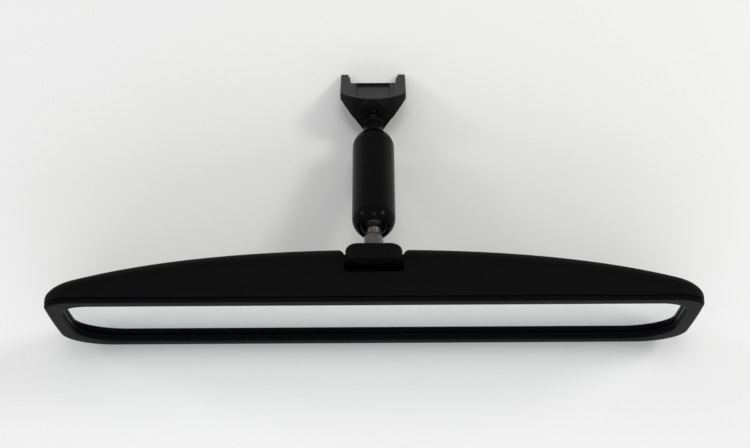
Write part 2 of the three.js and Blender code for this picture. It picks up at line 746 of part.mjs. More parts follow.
// A shallow hollow for the fingertip in the tab's front, under an arched rim.
function tabHollow() {
  const hollow = tabScoop.width / 2;
  const radius = (hollow ** 2 + tabScoop.depth ** 2) / (2 * tabScoop.depth);
  const centre = tabFront + tabScoop.depth - radius;
  const crest = tabTop - tabScoop.rim;
  const scoop = rod('z', radius, tabBottom - 1, crest, [0, centre], 72);
  const arch = new THREE.Shape();
  arch.moveTo(-hollow, tabBottom - 1);
  arch.lineTo(hollow, tabBottom - 1);
  arch.lineTo(hollow, crest - tabScoop.archDrop);
  arch.quadraticCurveTo(0, crest + tabScoop.archDrop, -hollow, crest - tabScoop.archDrop);
  return common(scoop, drawnAlongY(arch, tabFront - 1, tabFront + tab.depth));
}

function toggleLever() {
  const hub = rod('x', hubRadius, -hubHalfWidth, hubHalfWidth, [leverPin.depth, leverPin.height], 24);
  const webFront = leverPin.depth - webThickness / 2;
  const web = block(
    [-webHalfWidth, webFront, leverPin.height + 1],
    [webHalfWidth, webFront + webThickness, tabBottom + 1],
  );
  const head = cut(fingerTab(), tabHollow());
  const fingers = [-1, 1].map((side) => {
    const [inner, outer] = [side * finger.inner, side * finger.outer];
    const low = [Math.min(inner, outer), fingerFront, leverPin.height - finger.belowPin];
    const high = [Math.max(inner, outer), fingerFront + finger.thickness, leverPin.height + 1];
    const foot = [low[0], fingerFront, leverPin.height - 1];
    return joined(block(low, high), block(foot, [high[0], leverPin.depth, high[2]]));
  });
  const reach = hubHalfWidth + 1;
  const bore = rod('x', pinRadius + fitGap, -reach, reach, [leverPin.depth, leverPin.height], 20);
  return cut(joined(hub, web, head, ...fingers), bore);
}

addPiece(mirror, 'toggle_lever', toggleLever(), grainedBlack);

// ---- arm: tube, liners, pressure cups and spring ----

function armTube() {
  const [outerMouth, innerMouth] = [tubeRadius, seatRadius].map((radius) =>
    THREE.MathUtils.radToDeg(Math.asin(socketMouthRadius / radius)),
  );
  const toFar = ([radius, height]) => [radius, armLength + height];
  const toNear = ([radius, height]) => [radius, -height];
  const outerFar = polarArc(tubeRadius, 90, outerMouth, 5).map(toFar);
  const innerFar = polarArc(seatRadius, innerMouth, 90, 4).map(toFar);
  const innerNear = polarArc(seatRadius, 90, innerMouth, 4).map(toNear);
  const outerNear = polarArc(tubeRadius, outerMouth, 90, 5).map(toNear);
  return turned([...outerFar, ...innerFar, ...innerNear, ...outerNear, outerFar[0]], 36);
}

function ballLiner() {
  const outer = polarArc(linerOuter, linerMouthAngle, linerBackAngle, 5);
  const inner = polarArc(linerInner, linerBackAngle, linerMouthAngle, 5);
  return turned([...outer, ...inner, outer[0]], 28);
}

function pressureCup() {
  const rim = polarArc(linerInner, cupMouthAngle, 180, 5);
  const nose = cupLength + cupNose.length;
  const body = [
    [0, -nose],
    [cupNose.radius, -nose],
    [cupNose.radius, -cupLength],
    [cupRadius, -cupLength],
    [cupRadius, rim[0][1]],
  ];
  return turned([...rim, ...body, rim[0]], 24);
}

class CoilPath extends THREE.Curve {
  constructor(radius, from, to, turns) {
    super();
    Object.assign(this, { radius, from, to, turns });
  }

  getPoint(share, target = new THREE.Vector3()) {
    const angle = share * this.turns * 2 * Math.PI;
    const height = this.from + (this.to - this.from) * share;
    return target.set(this.radius * Math.cos(angle), height, this.radius * Math.sin(angle));
  }
}

function armSpring() {
  const section = new THREE.Shape().absarc(0, 0, springWire, 0, 2 * Math.PI, false);
  const clear = cupLength + springWire + 2 * fitGap;
  const coilRadius = (cupNose.radius + cupRadius) / 2;
  const extrudePath = new CoilPath(coilRadius, clear, armLength - clear, springTurns);
  const options = { steps: 14 * springTurns, curveSegments: 3, extrudePath };
  return new THREE.ExtrudeGeometry(section, options);
}

addPiece(armFrame, 'arm_tube', armTube(), tubeBlack);
addPiece(armFrame, 'arm_spring', armSpring(), springSteel);
addPiece(nearSocket, 'near_ball_liner', ballLiner(), linerGrey);
addPiece(nearSocket, 'near_pressure_cup', pressureCup(), linerGrey);
addPiece(farSocket, 'far_ball_liner', ballLiner(), linerGrey);
addPiece(farSocket, 'far_pressure_cup', pressureCup(), linerGrey);

// ---- windshield bracket, ball stud and set screw ----

// Half the bracket's width from the neck up to the glass: a flaring bell, then upright sides.
function flareShape() {
  const half = bracketWidth / 2;
  const full = faceHeight - channelDepth;
  const bottom = frontWallFoot.height - 2 * stubRadius - 1;
  const shape = new THREE.Shape();
  const neckTop = neckHeight - 0.2;
  const waist = half * flareFullness;
  shape.moveTo(-stubRadius, bottom);
  shape.lineTo(stubRadius, bottom);
  shape.lineTo(stubRadius, neckTop);
  shape.quadraticCurveTo(waist, (neckTop + full) / 2, half, full);
  shape.lineTo(half, faceHeight);
  shape.lineTo(-half, faceHeight);
  shape.lineTo(-half, full);
  shape.quadraticCurveTo(-waist, (neckTop + full) / 2, -stubRadius, neckTop);
  return shape;
}

// Seen square to the glass: round front lip, straight sides.
function planShape() {
  const half = bracketWidth / 2;
  const bulge = lipCornerReach - lipReach;
  const radius = (half ** 2 + bulge ** 2) / (2 * bulge);
  const centre = lipReach + radius;
  const halfTurn = Math.asin(half / radius);
  const shape = new THREE.Shape();
  shape.moveTo(half, earTip.reach);
  shape.lineTo(-half, earTip.reach);
  shape.lineTo(-half, lipCornerReach);
  shape.absarc(0, centre, radius, -Math.PI / 2 - halfTurn, -Math.PI / 2 + halfTurn, false);
  return shape;
}

const neckHeight = stubStart * sine(neckAngle);
const stubDirection = [cosine(neckAngle), sine(neckAngle)];

function windshieldBracket() {
  const inside = stubStart + 3;
  const foot = [
    stubDirection[0] * inside + stubRadius * stubDirection[1],
    stubDirection[1] * inside - stubRadius * stubDirection[0],
  ];
  const side = drawnAlongX([
    foot,
    [earTip.heelReach, earTip.heelHeight],
    [earTip.reach, faceHeight],
    [lipReach, faceHeight],
    [lipReach + 0.5, faceHeight - channelDepth - 1.5],
    [frontWallFoot.reach, frontWallFoot.height],
  ], bracketWidth);
  const flare = drawnAlongY(flareShape(), 0, earTip.reach + 5, 10);
  const below = -faceHeight / 2;
  const options = { depth: 2 * faceHeight, bevelEnabled: false, curveSegments: 14 };
  const plan = new THREE.ExtrudeGeometry(planShape(), options).translate(0, 0, below);
  const stub = rod('y', stubRadius, stubStart, stubTop, [0, 0], 28).rotateX(radians(neckAngle));
  const body = joined(common(side, flare, plan), stub);
  return cut(body, ...channelCutters(), studSocket(), driverBore());
}

const channelFloor = faceHeight - channelDepth;

// The tapered channel for the windshield button, its undercut edges and the shallow recess.
function channelCutters() {
  const beyond = earTip.reach + 6;
  const lipBulge = lipReach + lipWall;
  const tapered = (grow, low, high) => {
    const front = channelEnds.front / 2 + grow;
    const back = channelEnds.back / 2 + grow;
    const corner = lipCornerReach - lipReach - 1.5;
    const shape = new THREE.Shape();
    shape.moveTo(-front + lipRound, lipBulge);
    shape.lineTo(front - lipRound, lipBulge);
    shape.quadraticCurveTo(front, lipBulge, front, lipBulge + corner);
    shape.lineTo(back, beyond);
    shape.lineTo(-back, beyond);
    shape.lineTo(-front, lipBulge + corner);
    shape.quadraticCurveTo(-front, lipBulge, -front + lipRound, lipBulge);
    const options = { depth: high - low, bevelEnabled: false, curveSegments: 5 };
    return new THREE.ExtrudeGeometry(shape, options).translate(0, 0, low);
  };
  const main = tapered(0, channelFloor, faceHeight + 2);
  const under = tapered(undercut.depth, channelFloor, channelFloor + undercut.height);
  const half = recess.width / 2;
  const pocketFloor = channelFloor - recess.depth;
  const pocket = block([-half, recess.start, pocketFloor], [half, recess.end, channelFloor + 1]);
  const openEnd = block(
    [-channelEnds.back / 2, floorReach, earTip.heelHeight - 6],
    [channelEnds.back / 2, beyond, faceHeight + 2],
  );
  return [main, under, pocket, openEnd];
}

function studSocket() {
  const { radius, depth } = studPocket;
  const bore = rod('y', radius, stubStart - 1, stubStart + depth, [0, 0], 24);
  return bore.rotateX(radians(neckAngle));
}

const boreRun = [setScrew.tip[0] - setScrew.foot[0], setScrew.tip[1] - setScrew.foot[1]];
const boreLean = Math.atan2(boreRun[0], boreRun[1]);

function driverBore() {
  const length = Math.hypot(...boreRun) + 4;
  const bore = rod('z', setScrew.radius + fitGap, 0, length, [0, 0], 24);
  return bore.rotateX(-boreLean).translate(0, ...setScrew.foot);
}

function bracketBallStud() {
  const end = stubStart + studPocket.depth - fitGap;
  const shank = studPocket.radius - fitGap;
  const shoulder = stubStart - 1;
  return turned([
    ...polarArc(ballRadius, 180, 90 - neckFoot, 12),
    [neckRadius, shoulder],
    [shank, shoulder + 0.1],
    [shank, end],
    [0, end],
  ]);
}

function setScrewPiece() {
  const { radius, length } = setScrew;
  const { socket } = setScrew;
  const body = turned([
    [0, 0],
    [radius - 0.3, 0],
    [radius, 0.3],
    [radius, length - 0.8],
    [radius * 0.6, length],
    [0, length],
  ], 24);
  return cut(body, rod('y', socket.radius, -1, socket.depth, [0, 0], 6));
}

addPiece(bracketFrame, 'windshield_bracket', windshieldBracket(), castBlack);
addPiece(bracketNeck, 'bracket_ball_stud', bracketBallStud(), castBlack);
const screwSeat = frame(
  bracketFrame,
  new THREE.Vector3(0, ...setScrew.tip),
  Math.PI / 2 - boreLean,
);
addPiece(screwSeat, 'set_screw', setScrewPiece(), blackOxide).position.set(0, -setScrew.length, 0);

// ---- the whole part, its origin under the middle of its box ----

mirror.updateMatrixWorld(true);
const bounds = new THREE.Box3().setFromObject(mirror, true);
const middle = bounds.getCenter(new THREE.Vector3());
mirror.position.set(-middle.x, -middle.y, -bounds.min.z);

const part = new THREE.Group();
part.name = 'interior_rearview_mirror';
part.add(mirror);

export default part;
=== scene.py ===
import json
from math import acos, asin, atan2, cos, degrees, hypot, pi, radians, sin, tan

import bmesh
import bpy
from mathutils import Matrix, Vector


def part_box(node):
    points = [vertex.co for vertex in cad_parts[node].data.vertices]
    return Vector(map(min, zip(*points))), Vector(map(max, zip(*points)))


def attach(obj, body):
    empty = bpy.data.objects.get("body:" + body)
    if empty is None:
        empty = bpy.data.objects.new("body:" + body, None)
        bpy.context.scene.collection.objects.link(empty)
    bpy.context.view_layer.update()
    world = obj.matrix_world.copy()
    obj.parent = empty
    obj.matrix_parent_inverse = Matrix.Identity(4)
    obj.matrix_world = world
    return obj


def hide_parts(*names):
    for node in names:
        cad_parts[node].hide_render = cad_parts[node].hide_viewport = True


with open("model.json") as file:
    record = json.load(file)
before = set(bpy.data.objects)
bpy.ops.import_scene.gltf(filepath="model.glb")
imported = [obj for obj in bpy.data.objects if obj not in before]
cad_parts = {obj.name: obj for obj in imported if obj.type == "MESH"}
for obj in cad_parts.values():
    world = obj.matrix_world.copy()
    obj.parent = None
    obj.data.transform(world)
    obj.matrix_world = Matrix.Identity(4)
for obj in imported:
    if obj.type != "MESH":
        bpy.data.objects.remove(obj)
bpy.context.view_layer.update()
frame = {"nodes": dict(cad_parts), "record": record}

# Day/night rearview mirror with a ball-and-ball arm, turned over on a pale table.
# Shapes are worked out in millimetres: x along the head, depth back from the bezel's
# front, z up. They become metres in the CAD's frame when a mesh is made.

mm = 0.001
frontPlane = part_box("front_bezel")[0].y / mm  # where depth is zero, in the CAD's frame

print("stage: frame loaded,", len(frame["nodes"]), "nodes")


# ---- where things are ----

headSize = {"width": 254.0, "height": 59.4, "sideBow": 0.8,
            "lowCorner": (19.0, 16.0), "highCorner": (11.0, 10.0),
            "edgeDepth": 21.64, "crown": 2.0, "crownFade": 0.35, "endDepth": 6.95, "sweepCurve": 0.327,
            "edgeRadius": 6.0, "edgeShare": 0.7, "wall": 2.0, "rimDepth": 1.6, "gap": 0.3}
armSize = {"nearDepth": 43.2, "nearHeight": 32.7, "length": 41.2, "tubeRadius": 8.8, "tubeWall": 1.3,
           "mouthRadius": 5.66, "ballRadius": 6.3, "neckRadius": 2.9}
bracketSize = {"lean": 44.0, "neckAngle": 19.91, "heelReach": 38.4, "heelHeight": 15.0}
studRise = 11.0

lean = radians(bracketSize["lean"])
farHeight = bracketSize["heelReach"] * sin(lean) - bracketSize["heelHeight"] * cos(lean)
armSlope = asin((armSize["nearHeight"] - farHeight) / armSize["length"])
nearBall = Vector((0.0, frontPlane + armSize["nearDepth"], armSize["nearHeight"]))
farBall = nearBall + armSize["length"] * Vector((0.0, cos(armSlope), -sin(armSlope)))

turnAbout, moveBy = Matrix.Rotation, Matrix.Translation
armFrame = moveBy(nearBall) @ turnAbout(-armSlope, 4, "X")
nearSocket = armFrame @ turnAbout(pi, 4, "Z")
farSocket = armFrame @ moveBy((0.0, armSize["length"], 0.0))
studFrame = (moveBy(nearBall) @ turnAbout(-radians(studRise), 4, "X")
             @ turnAbout(pi, 4, "Z"))
bracketFrame = moveBy(farBall) @ turnAbout(-lean, 4, "X")
bracketNeck = bracketFrame @ turnAbout(radians(bracketSize["neckAngle"]), 4, "X")
headFrame = moveBy((0.0, frontPlane, 0.0))


# ---- shader nodes written as sums ----

class Wire:  # one output socket, so that + - * / work on it
    def __init__(self, look, socket):
        self.look = look
        self.socket = socket

    def __add__(self, other):
        return self.look.sum("ADD", self, other)

    def __radd__(self, other):
        return self.look.sum("ADD", other, self)

    def __sub__(self, other):
        return self.look.sum("SUBTRACT", self, other)

    def __rsub__(self, other):
        return self.look.sum("SUBTRACT", other, self)

    def __mul__(self, other):
        return self.look.sum("MULTIPLY", self, other)

    def __rmul__(self, other):
        return self.look.sum("MULTIPLY", other, self)

    def __truediv__(self, other):
        return self.look.sum("DIVIDE", self, other)

    def __rtruediv__(self, other):
        return self.look.sum("DIVIDE", other, self)


class Look:  # one material and the nodes in it
    def __init__(self, name):
        self.material = bpy.data.materials.new(name)
        self.material.use_nodes = True
        self.tree = self.material.node_tree
        self.tree.nodes.clear()

    def node(self, kind, settings=None, inputs=None, output=0):
        made = self.tree.nodes.new(kind)
        for key, value in (settings or {}).items():
            if key == "stops":
                self.setStops(made.color_ramp, value)
            else:
                setattr(made, key, value)
        for key, value in (inputs or {}).items():
            if isinstance(value, Wire):
                self.tree.links.new(value.socket, made.inputs[key])
            else:
                made.inputs[key].default_value = value
        return Wire(self, made.outputs[output]) if made.outputs else made

    def setStops(self, ramp, stops):
        while len(ramp.elements) > len(stops):
            ramp.elements.remove(ramp.elements[-1])
        while len(ramp.elements) < len(stops):
            ramp.elements.new(1.0)
        for element, (place, value) in zip(ramp.elements, stops):
            element.position = place
            element.color = (value, value, value, 1.0)

    def sum(self, operation, *values):
        return self.node("ShaderNodeMath", {"operation": operation}, dict(enumerate(values)))

    def limit(self, value):
        return self.node("ShaderNodeMath", {"operation": "ADD", "use_clamp": True}, {0: value, 1: 0.0})

    def ramp(self, value, stops):
        return self.node("ShaderNodeValToRGB", {"stops": stops}, {"Fac": value})

    def spread(self, value, low, high):  # a 0 to 1 value laid between two numbers
        return value * (high - low) + low

    def object(self, stretch=(1.0, 1.0, 1.0), turn=(0.0, 0.0, 0.0), centre=(0.0, 0.0, 0.0)):
        place = self.node("ShaderNodeTexCoord", output="Object")
        moved = self.node("ShaderNodeVectorMath", {"operation": "SUBTRACT"}, {0: place, 1: centre})
        return self.node("ShaderNodeMapping", {"vector_type": "POINT"},
                         {"Vector": moved, "Rotation": turn, "Scale": stretch})

    def noise(self, place, size, detail=2.0, roughness=0.5):  # size of a patch, in mm
        return self.node("ShaderNodeTexNoise", {"noise_dimensions": "3D"},
                         {"Vector": place, "Scale": 1.0 / (size * mm), "Detail": detail,
                          "Roughness": roughness})

    def cells(self, place, size, feature="F1", output=0):
        return self.node("ShaderNodeTexVoronoi", {"feature": feature},
                         {"Vector": place, "Scale": 1.0 / (size * mm)}, output)

    def tint(self, mask, first, second):
        first, second = (part if isinstance(part, Wire) else (*part, 1.0) for part in (first, second))
        return self.node("ShaderNodeMix", {"data_type": "RGBA"}, {0: mask, 6: first, 7: second}, output=2)

    def dot(self, first, second):
        return self.node("ShaderNodeVectorMath", {"operation": "DOT_PRODUCT"}, {0: first, 1: second},
                         output="Value")

    def bump(self, height, depth, strength=1.0):  # depth of the relief, in mm
        return self.node("ShaderNodeBump", {}, {"Height": height, "Distance": depth * mm,
                                                "Strength": strength})

    def surface(self, **sockets):
        named = {key.replace("_", " "): value for key, value in sockets.items()}
        shader = self.node("ShaderNodeBsdfPrincipled", {}, named)
        self.node("ShaderNodeOutputMaterial", {}, {"Surface": shader})
        return self.material


# ---- finishes ----

grainedValues = {"deep": (0.0016, 0.0016, 0.0018), "pale": (0.0034, 0.0034, 0.0037),
                 "grain": 0.75, "relief": 0.05, "roughness": (0.50, 0.64)}


def grainedBlack(name, values):  # spark-eroded moulding: fine even grain, dull sheen
    look = Look(name)
    place = look.object()
    grain = look.cells(place, values["grain"], "SMOOTH_F1")
    fine = look.noise(place, values["grain"] * 0.45, 3.0, 0.6)
    cloud = look.noise(place, 18.0, 3.0)
    relief = grain * 0.6 + fine * 0.4
    rub = look.ramp(cloud, [(0.38, 0.0), (0.66, 1.0)])
    return look.surface(
        Base_Color=look.tint(look.limit(fine * 0.7 + rub * 0.3), values["deep"], values["pale"]),
        Roughness=look.spread(look.limit(grain * 0.5 + rub * 0.5), *values["roughness"]),
        Specular_IOR_Level=0.035,
        Normal=look.bump(relief, values["relief"], 0.75))


bezelValues = {"deep": (0.0020, 0.0021, 0.0026), "pale": (0.0036, 0.0038, 0.0047),
               "relief": 0.012, "roughness": (0.27, 0.36)}


def bezelBlack(name, values):  # smoother moulding with a bluish sheen and faint handling marks
    look = Look(name)
    place = look.object()
    fine = look.noise(place, 0.5, 2.0, 0.55)
    cloud = look.noise(place, 26.0, 4.0)
    wipe = look.noise(look.object(stretch=(0.12, 1.0, 1.0)), 1.6, 3.0, 0.6)
    marks = look.ramp(wipe, [(0.52, 0.0), (0.70, 1.0)])
    return look.surface(
        Base_Color=look.tint(cloud, values["deep"], values["pale"]),
        Roughness=look.spread(look.limit(cloud * 0.55 + marks * 0.45), *values["roughness"]),
        Specular_IOR_Level=0.01,
        Normal=look.bump(fine, values["relief"], 0.5))


glassValues = {"clean": (0.905, 0.925, 0.915), "dusty": (0.86, 0.88, 0.87), "roughness": (0.004, 0.05)}


def mirrorSilver(name, values):  # silvered glass with a trace of dust and wiping
    look = Look(name)
    place = look.object()
    dust = look.ramp(look.noise(place, 0.9, 4.0, 0.7), [(0.62, 0.0), (0.80, 1.0)])
    wipe = look.ramp(look.noise(look.object(stretch=(0.2, 1.0, 1.0), turn=(0.0, 0.25, 0.0)), 9.0, 3.0),
                     [(0.45, 0.0), (0.75, 1.0)])
    return look.surface(
        Base_Color=look.tint(dust * 0.4, values["clean"], values["dusty"]),
        Metallic=1.0,
        Roughness=look.spread(look.limit(dust * 0.35 + wipe * 0.25), *values["roughness"]),
        Coat_Weight=0.2,
        Coat_Roughness=0.02)


tubeValues = {"deep": (0.0018, 0.0018, 0.0020), "pale": (0.0040, 0.0040, 0.0044),
              "roughness": (0.16, 0.27), "peel": 0.9}


def tubePaint(name, values):  # satin black paint with a little orange peel
    look = Look(name)
    place = look.object()
    peel = look.noise(place, values["peel"], 1.0, 0.4)
    cloud = look.noise(place, 9.0, 3.0)
    scuff = look.ramp(look.noise(look.object(stretch=(1.0, 0.18, 1.0)), 0.7, 3.0, 0.65),
                      [(0.60, 0.0), (0.74, 1.0)])
    return look.surface(
        Base_Color=look.tint(look.limit(cloud * 0.6 + scuff * 0.25), values["deep"], values["pale"]),
        Roughness=look.spread(look.limit(cloud * 0.5 + scuff * 0.5), *values["roughness"]),
        Specular_IOR_Level=0.035,
        Normal=look.bump(peel, 0.02, 0.35))


# the paler colour for the top faces is a painted highlight, not a coat of its own
castValues = {"deep": (0.0024, 0.0024, 0.0027), "pale": (0.0062, 0.0062, 0.0070),
              "highlightColour": (0.036, 0.036, 0.037), "roughness": (0.24, 0.40), "highlightRoughness": 0.6,
              "sand": 0.55, "faceNormal": (0.0, 0.694658, 0.719340), "floor": 15.0, "rail": 18.4}


def castBlack(name, values, paintsTopHighlight=True):  # black coat over a casting; faces square to its top get a painted highlight, a paler colour and higher roughness, strongest on the rails and faint down in the recess
    look = Look(name)
    place = look.object()
    sand = look.noise(place, values["sand"], 4.0, 0.62)
    lump = look.noise(place, 3.2, 2.0)
    cloud = look.noise(place, 6.0, 4.0, 0.6)
    colour = look.tint(look.limit(sand * 0.6 + cloud * 0.4), values["deep"], values["pale"])
    rough = look.spread(look.limit(sand * 0.5 + cloud * 0.5), *values["roughness"])
    # painted highlight: faces square to the bracket's top are made paler, most on the rails and least on the
    # recess floor
    if paintsTopHighlight:
        square = look.dot(look.node("ShaderNodeTexCoord", output="Normal"), values["faceNormal"])
        height = look.dot(look.object(centre=farBall * mm), values["faceNormal"])
        low, full = values["floor"] * mm, values["rail"] * mm
        level = look.limit((height - low) / (full - low) * 0.95 + 0.05)
        paintedHighlight = look.ramp(square, [(0.80, 0.0), (0.97, 1.0)]) * level * look.limit(cloud * 0.8 + 0.5)
        colour = look.tint(paintedHighlight, colour, values["highlightColour"])
        rough = rough * (1.0 - paintedHighlight) + paintedHighlight * values["highlightRoughness"]
    return look.surface(
        Base_Color=colour,
        Roughness=rough,
        Specular_IOR_Level=0.09,
        Normal=look.bump(sand * 0.55 + lump * 0.45, 0.05, 0.45))


zincValues = {"bright": (0.17, 0.168, 0.162), "dull": (0.035, 0.035, 0.034), "roughness": (0.34, 0.50)}


def zincPlate(name, values):  # plated steel: turning lines, cloudy plating, dull spots
    look = Look(name)
    place = look.object()
    lines = look.noise(look.object(stretch=(0.15, 1.0, 1.0)), 0.16, 2.0, 0.6)
    cloud = look.noise(place, 1.8, 4.0, 0.62)
    spots = look.ramp(look.cells(place, 1.1), [(0.08, 1.0), (0.22, 0.0)])
    grime = look.limit(cloud * 0.75 + spots * 0.35)
    return look.surface(
        Base_Color=look.tint(grime, values["bright"], values["dull"]),
        Metallic=1.0,
        Roughness=look.spread(look.limit(cloud * 0.6 + lines * 0.4), *values["roughness"]),
        Normal=look.bump(lines * 0.6 + cloud * 0.4, 0.012, 0.5))


galvanisedValues = {"light": (0.60, 0.62, 0.63), "dark": (0.40, 0.42, 0.43), "roughness": (0.28, 0.5)}


def galvanised(name, values):  # sheet steel with spangles
    look = Look(name)
    place = look.object()
    tone = look.node("ShaderNodeSeparateColor", {}, {"Color": look.cells(place, 4.5, output="Color")})
    fine = look.noise(place, 0.6, 3.0)
    return look.surface(
        Base_Color=look.tint(look.limit(tone * 0.7 + fine * 0.3), values["dark"], values["light"]),
        Metallic=1.0,
        Roughness=look.spread(look.limit(tone * 0.5 + fine * 0.5), *values["roughness"]),
        Normal=look.bump(fine, 0.015, 0.4))


springValues = {"bright": (0.42, 0.42, 0.43), "brown": (0.20, 0.17, 0.14), "roughness": (0.24, 0.42)}


def springSteel(name, values):  # oiled wire with drawing lines and heat tint
    look = Look(name)
    place = look.object()
    drawn = look.noise(place, 0.35, 3.0, 0.7)
    heat = look.ramp(look.noise(place, 5.0, 2.0), [(0.42, 0.0), (0.72, 1.0)])
    return look.surface(
        Base_Color=look.tint(heat * 0.6, values["bright"], values["brown"]),
        Metallic=1.0,
        Roughness=look.spread(look.limit(drawn), *values["roughness"]),
        Normal=look.bump(drawn, 0.01, 0.4))


def softBlack(name, colour, cell, depth, roughness):  # rubber or foam, by its cell size
    look = Look(name)
    place = look.object()
    pores = look.cells(place, cell)
    cloud = look.noise(place, cell * 8.0, 3.0)
    paler = tuple(min(1.0, part * 1.8) for part in colour)
    return look.surface(
        Base_Color=look.tint(look.limit(pores * 0.5 + cloud * 0.5), colour, paler),
        Roughness=look.spread(look.limit(cloud), roughness - 0.08, roughness + 0.05),
        Normal=look.bump(pores, depth, 0.6))


def mouldedNylon(name, dark, light, roughness):  # acetal or filled nylon
    look = Look(name)
    place = look.object()
    flow = look.noise(look.object(stretch=(1.0, 0.4, 1.0)), 2.4, 3.0, 0.6)
    fine = look.noise(place, 0.5, 2.0)
    return look.surface(
        Base_Color=look.tint(look.limit(flow * 0.7 + fine * 0.3), dark, light),
        Roughness=look.spread(look.limit(fine * 0.5 + flow * 0.5), roughness - 0.07, roughness + 0.07),
        Normal=look.bump(fine, 0.012, 0.4))


finishes = {
    "grained_black": grainedBlack("grainedBlackMoulding", grainedValues),
    "bezel_black": bezelBlack("satinBezelMoulding", bezelValues),
    "mirror_silver": mirrorSilver("silveredGlass", glassValues),
    "tube_black": tubePaint("satinTubePaint", tubeValues),
    "cast_black": castBlack("castBracketCoat", castValues),
    "black_oxide": castBlack("blackOxideSteel", castValues, paintsTopHighlight=False),
    "zinc_plate": zincPlate("zincPlate", zincValues),
    "galvanised_steel": galvanised("galvanisedSheet", galvanisedValues),
    "spring_steel": springSteel("springSteel", springValues),
    "stop_rubber": softBlack("stopRubber", (0.012, 0.012, 0.012), 0.35, 0.02, 0.85),
    "foam_grey": softBlack("backingFoam", (0.05, 0.05, 0.05), 0.5, 0.15, 0.92),
    "liner_grey": mouldedNylon("linerAcetal", (0.11, 0.115, 0.12), (0.18, 0.185, 0.19), 0.45),
    "carrier_black": mouldedNylon("carrierNylon", (0.008, 0.008, 0.009), (0.018, 0.018, 0.020), 0.52),
}
print("stage:", len(finishes), "finishes made")


# ---- mesh tools ----

# how an outline drawn in two directions and pushed along a third is laid out
layOuts = {"x": lambda u, v, w: (w, u, v), "y": lambda u, v, w: (u, w, v), "z": lambda u, v, w: (u, v, w)}


def shown(name, data):  # puts a mesh, lamp or camera in the scene
    made = bpy.data.objects.new(name, data)
    bpy.context.scene.collection.objects.link(made)
    return made


def makeObject(name, points, faces, place=None):
    mesh = bpy.data.meshes.new(name)
    moved = [(place @ Vector(point)) if place else Vector(point) for point in points]
    mesh.from_pydata([point * mm for point in moved], [], faces)
    made = shown(name, mesh)
    faceOutwards(made)
    return made


def faceOutwards(made):
    work = bmesh.new()
    work.from_mesh(made.data)
    bmesh.ops.remove_doubles(work, verts=work.verts, dist=0.002 * mm)
    bmesh.ops.dissolve_degenerate(work, edges=work.edges, dist=0.001 * mm)
    bmesh.ops.recalc_face_normals(work, faces=work.faces)
    work.to_mesh(made.data)
    work.free()


def ringsToMesh(rings, closed=False):  # rings of points joined into quads, with a fan at each end
    count = len(rings[0])
    points = [point for ring in rings for point in ring]
    faces = []
    bands = len(rings) if closed else len(rings) - 1
    for ring in range(bands):
        here, after = ring * count, ((ring + 1) % len(rings)) * count
        for k in range(count):
            beside = (k + 1) % count
            faces.append((here + k, here + beside, after + beside, after + k))
    if not closed:
        for ring in (0, len(rings) - 1):
            hub = sum((Vector(point) for point in rings[ring]), Vector()) / count
            points.append(hub)
            middle = len(points) - 1
            faces += [(ring * count + k, ring * count + (k + 1) % count, middle) for k in range(count)]
    return points, faces


def turned(name, profile, place, sides=96, shape=None):  # a profile of (radius, height) spun about Y
    rings = []
    for radius, height in profile:
        ring = []
        for k in range(sides):
            angle = 2 * pi * k / sides
            reach = shape(angle, radius, height) if shape else radius
            ring.append((reach * cos(angle), height, reach * sin(angle)))
        rings.append(ring)
    closed = profile[0] == profile[-1]
    if closed:
        rings = rings[:-1]
    points, faces = ringsToMesh(rings, closed)
    return makeObject(name, points, faces, place)


def prism(name, outline, axis, low, high, place=None):
    count = len(outline)
    points = [layOuts[axis](u, v, w) for w in (low, high) for u, v in outline]
    faces = [tuple(range(count)), tuple(range(count, 2 * count))]
    faces += [(k, (k + 1) % count, count + (k + 1) % count, count + k) for k in range(count)]
    return makeObject(name, points, faces, place)


def block(name, low, high, place=None):
    outline = [(low[0], low[1]), (high[0], low[1]), (high[0], high[1]), (low[0], high[1])]
    return prism(name, outline, "z", low[2], high[2], place)


def rod(name, axis, radius, low, high, across=(0.0, 0.0), place=None, sides=64):
    turn = [2 * pi * k / sides for k in range(sides)]
    outline = [(across[0] + radius * cos(a), across[1] + radius * sin(a)) for a in turn]
    return prism(name, outline, axis, low, high, place)


def settle(made):  # modifiers worked into the mesh
    graph = bpy.context.evaluated_depsgraph_get()
    graph.update()
    mesh = bpy.data.meshes.new_from_object(made.evaluated_get(graph))
    made.modifiers.clear()
    old, made.data = made.data, mesh
    bpy.data.meshes.remove(old)
    mesh.name = made.name
    return made


def combine(made, operation, *others):
    for other in others:
        step = made.modifiers.new("combine", "BOOLEAN")
        step.operation = operation
        step.solver = "MANIFOLD"
        step.object = other
        settle(made)
        bpy.data.objects.remove(other, do_unlink=True)
    return made


def softened(made, voxel, rounds):  # cast or moulded edges: an even skin, relaxed a little
    skin = made.modifiers.new("skin", "REMESH")
    skin.mode = "VOXEL"
    skin.voxel_size = voxel * mm
    relax = made.modifiers.new("relax", "SMOOTH")
    relax.factor = 0.5
    relax.iterations = rounds
    return settle(made)


nearAxis = 0.01  # where the ends of a turned piece close


def angles(start, end, steps):
    return [radians(start + (end - start) * k / steps) for k in range(steps + 1)]


def arc(centre, radius, start, end, steps):  # radius is one number, or one across and one up
    across, up = radius if isinstance(radius, tuple) else (radius, radius)
    return [(centre[0] + across * cos(t), centre[1] + up * sin(t)) for t in angles(start, end, steps)]


def polarArc(radius, start, end, steps):  # (radius, height) by the angle from the axis, in degrees
    return [(radius * sin(t), radius * cos(t)) for t in angles(start, end, steps)]


def curveThrough(start, handle, end, steps):  # quadratic curve, without its first point
    points = []
    for k in range(1, steps + 1):
        t = k / steps
        points.append(tuple((1 - t) ** 2 * a + 2 * t * (1 - t) * b + t * t * c
                            for a, b, c in zip(start, handle, end)))
    return points


def curveFrom(start, handle, end, steps):
    return [start] + curveThrough(start, handle, end, steps)


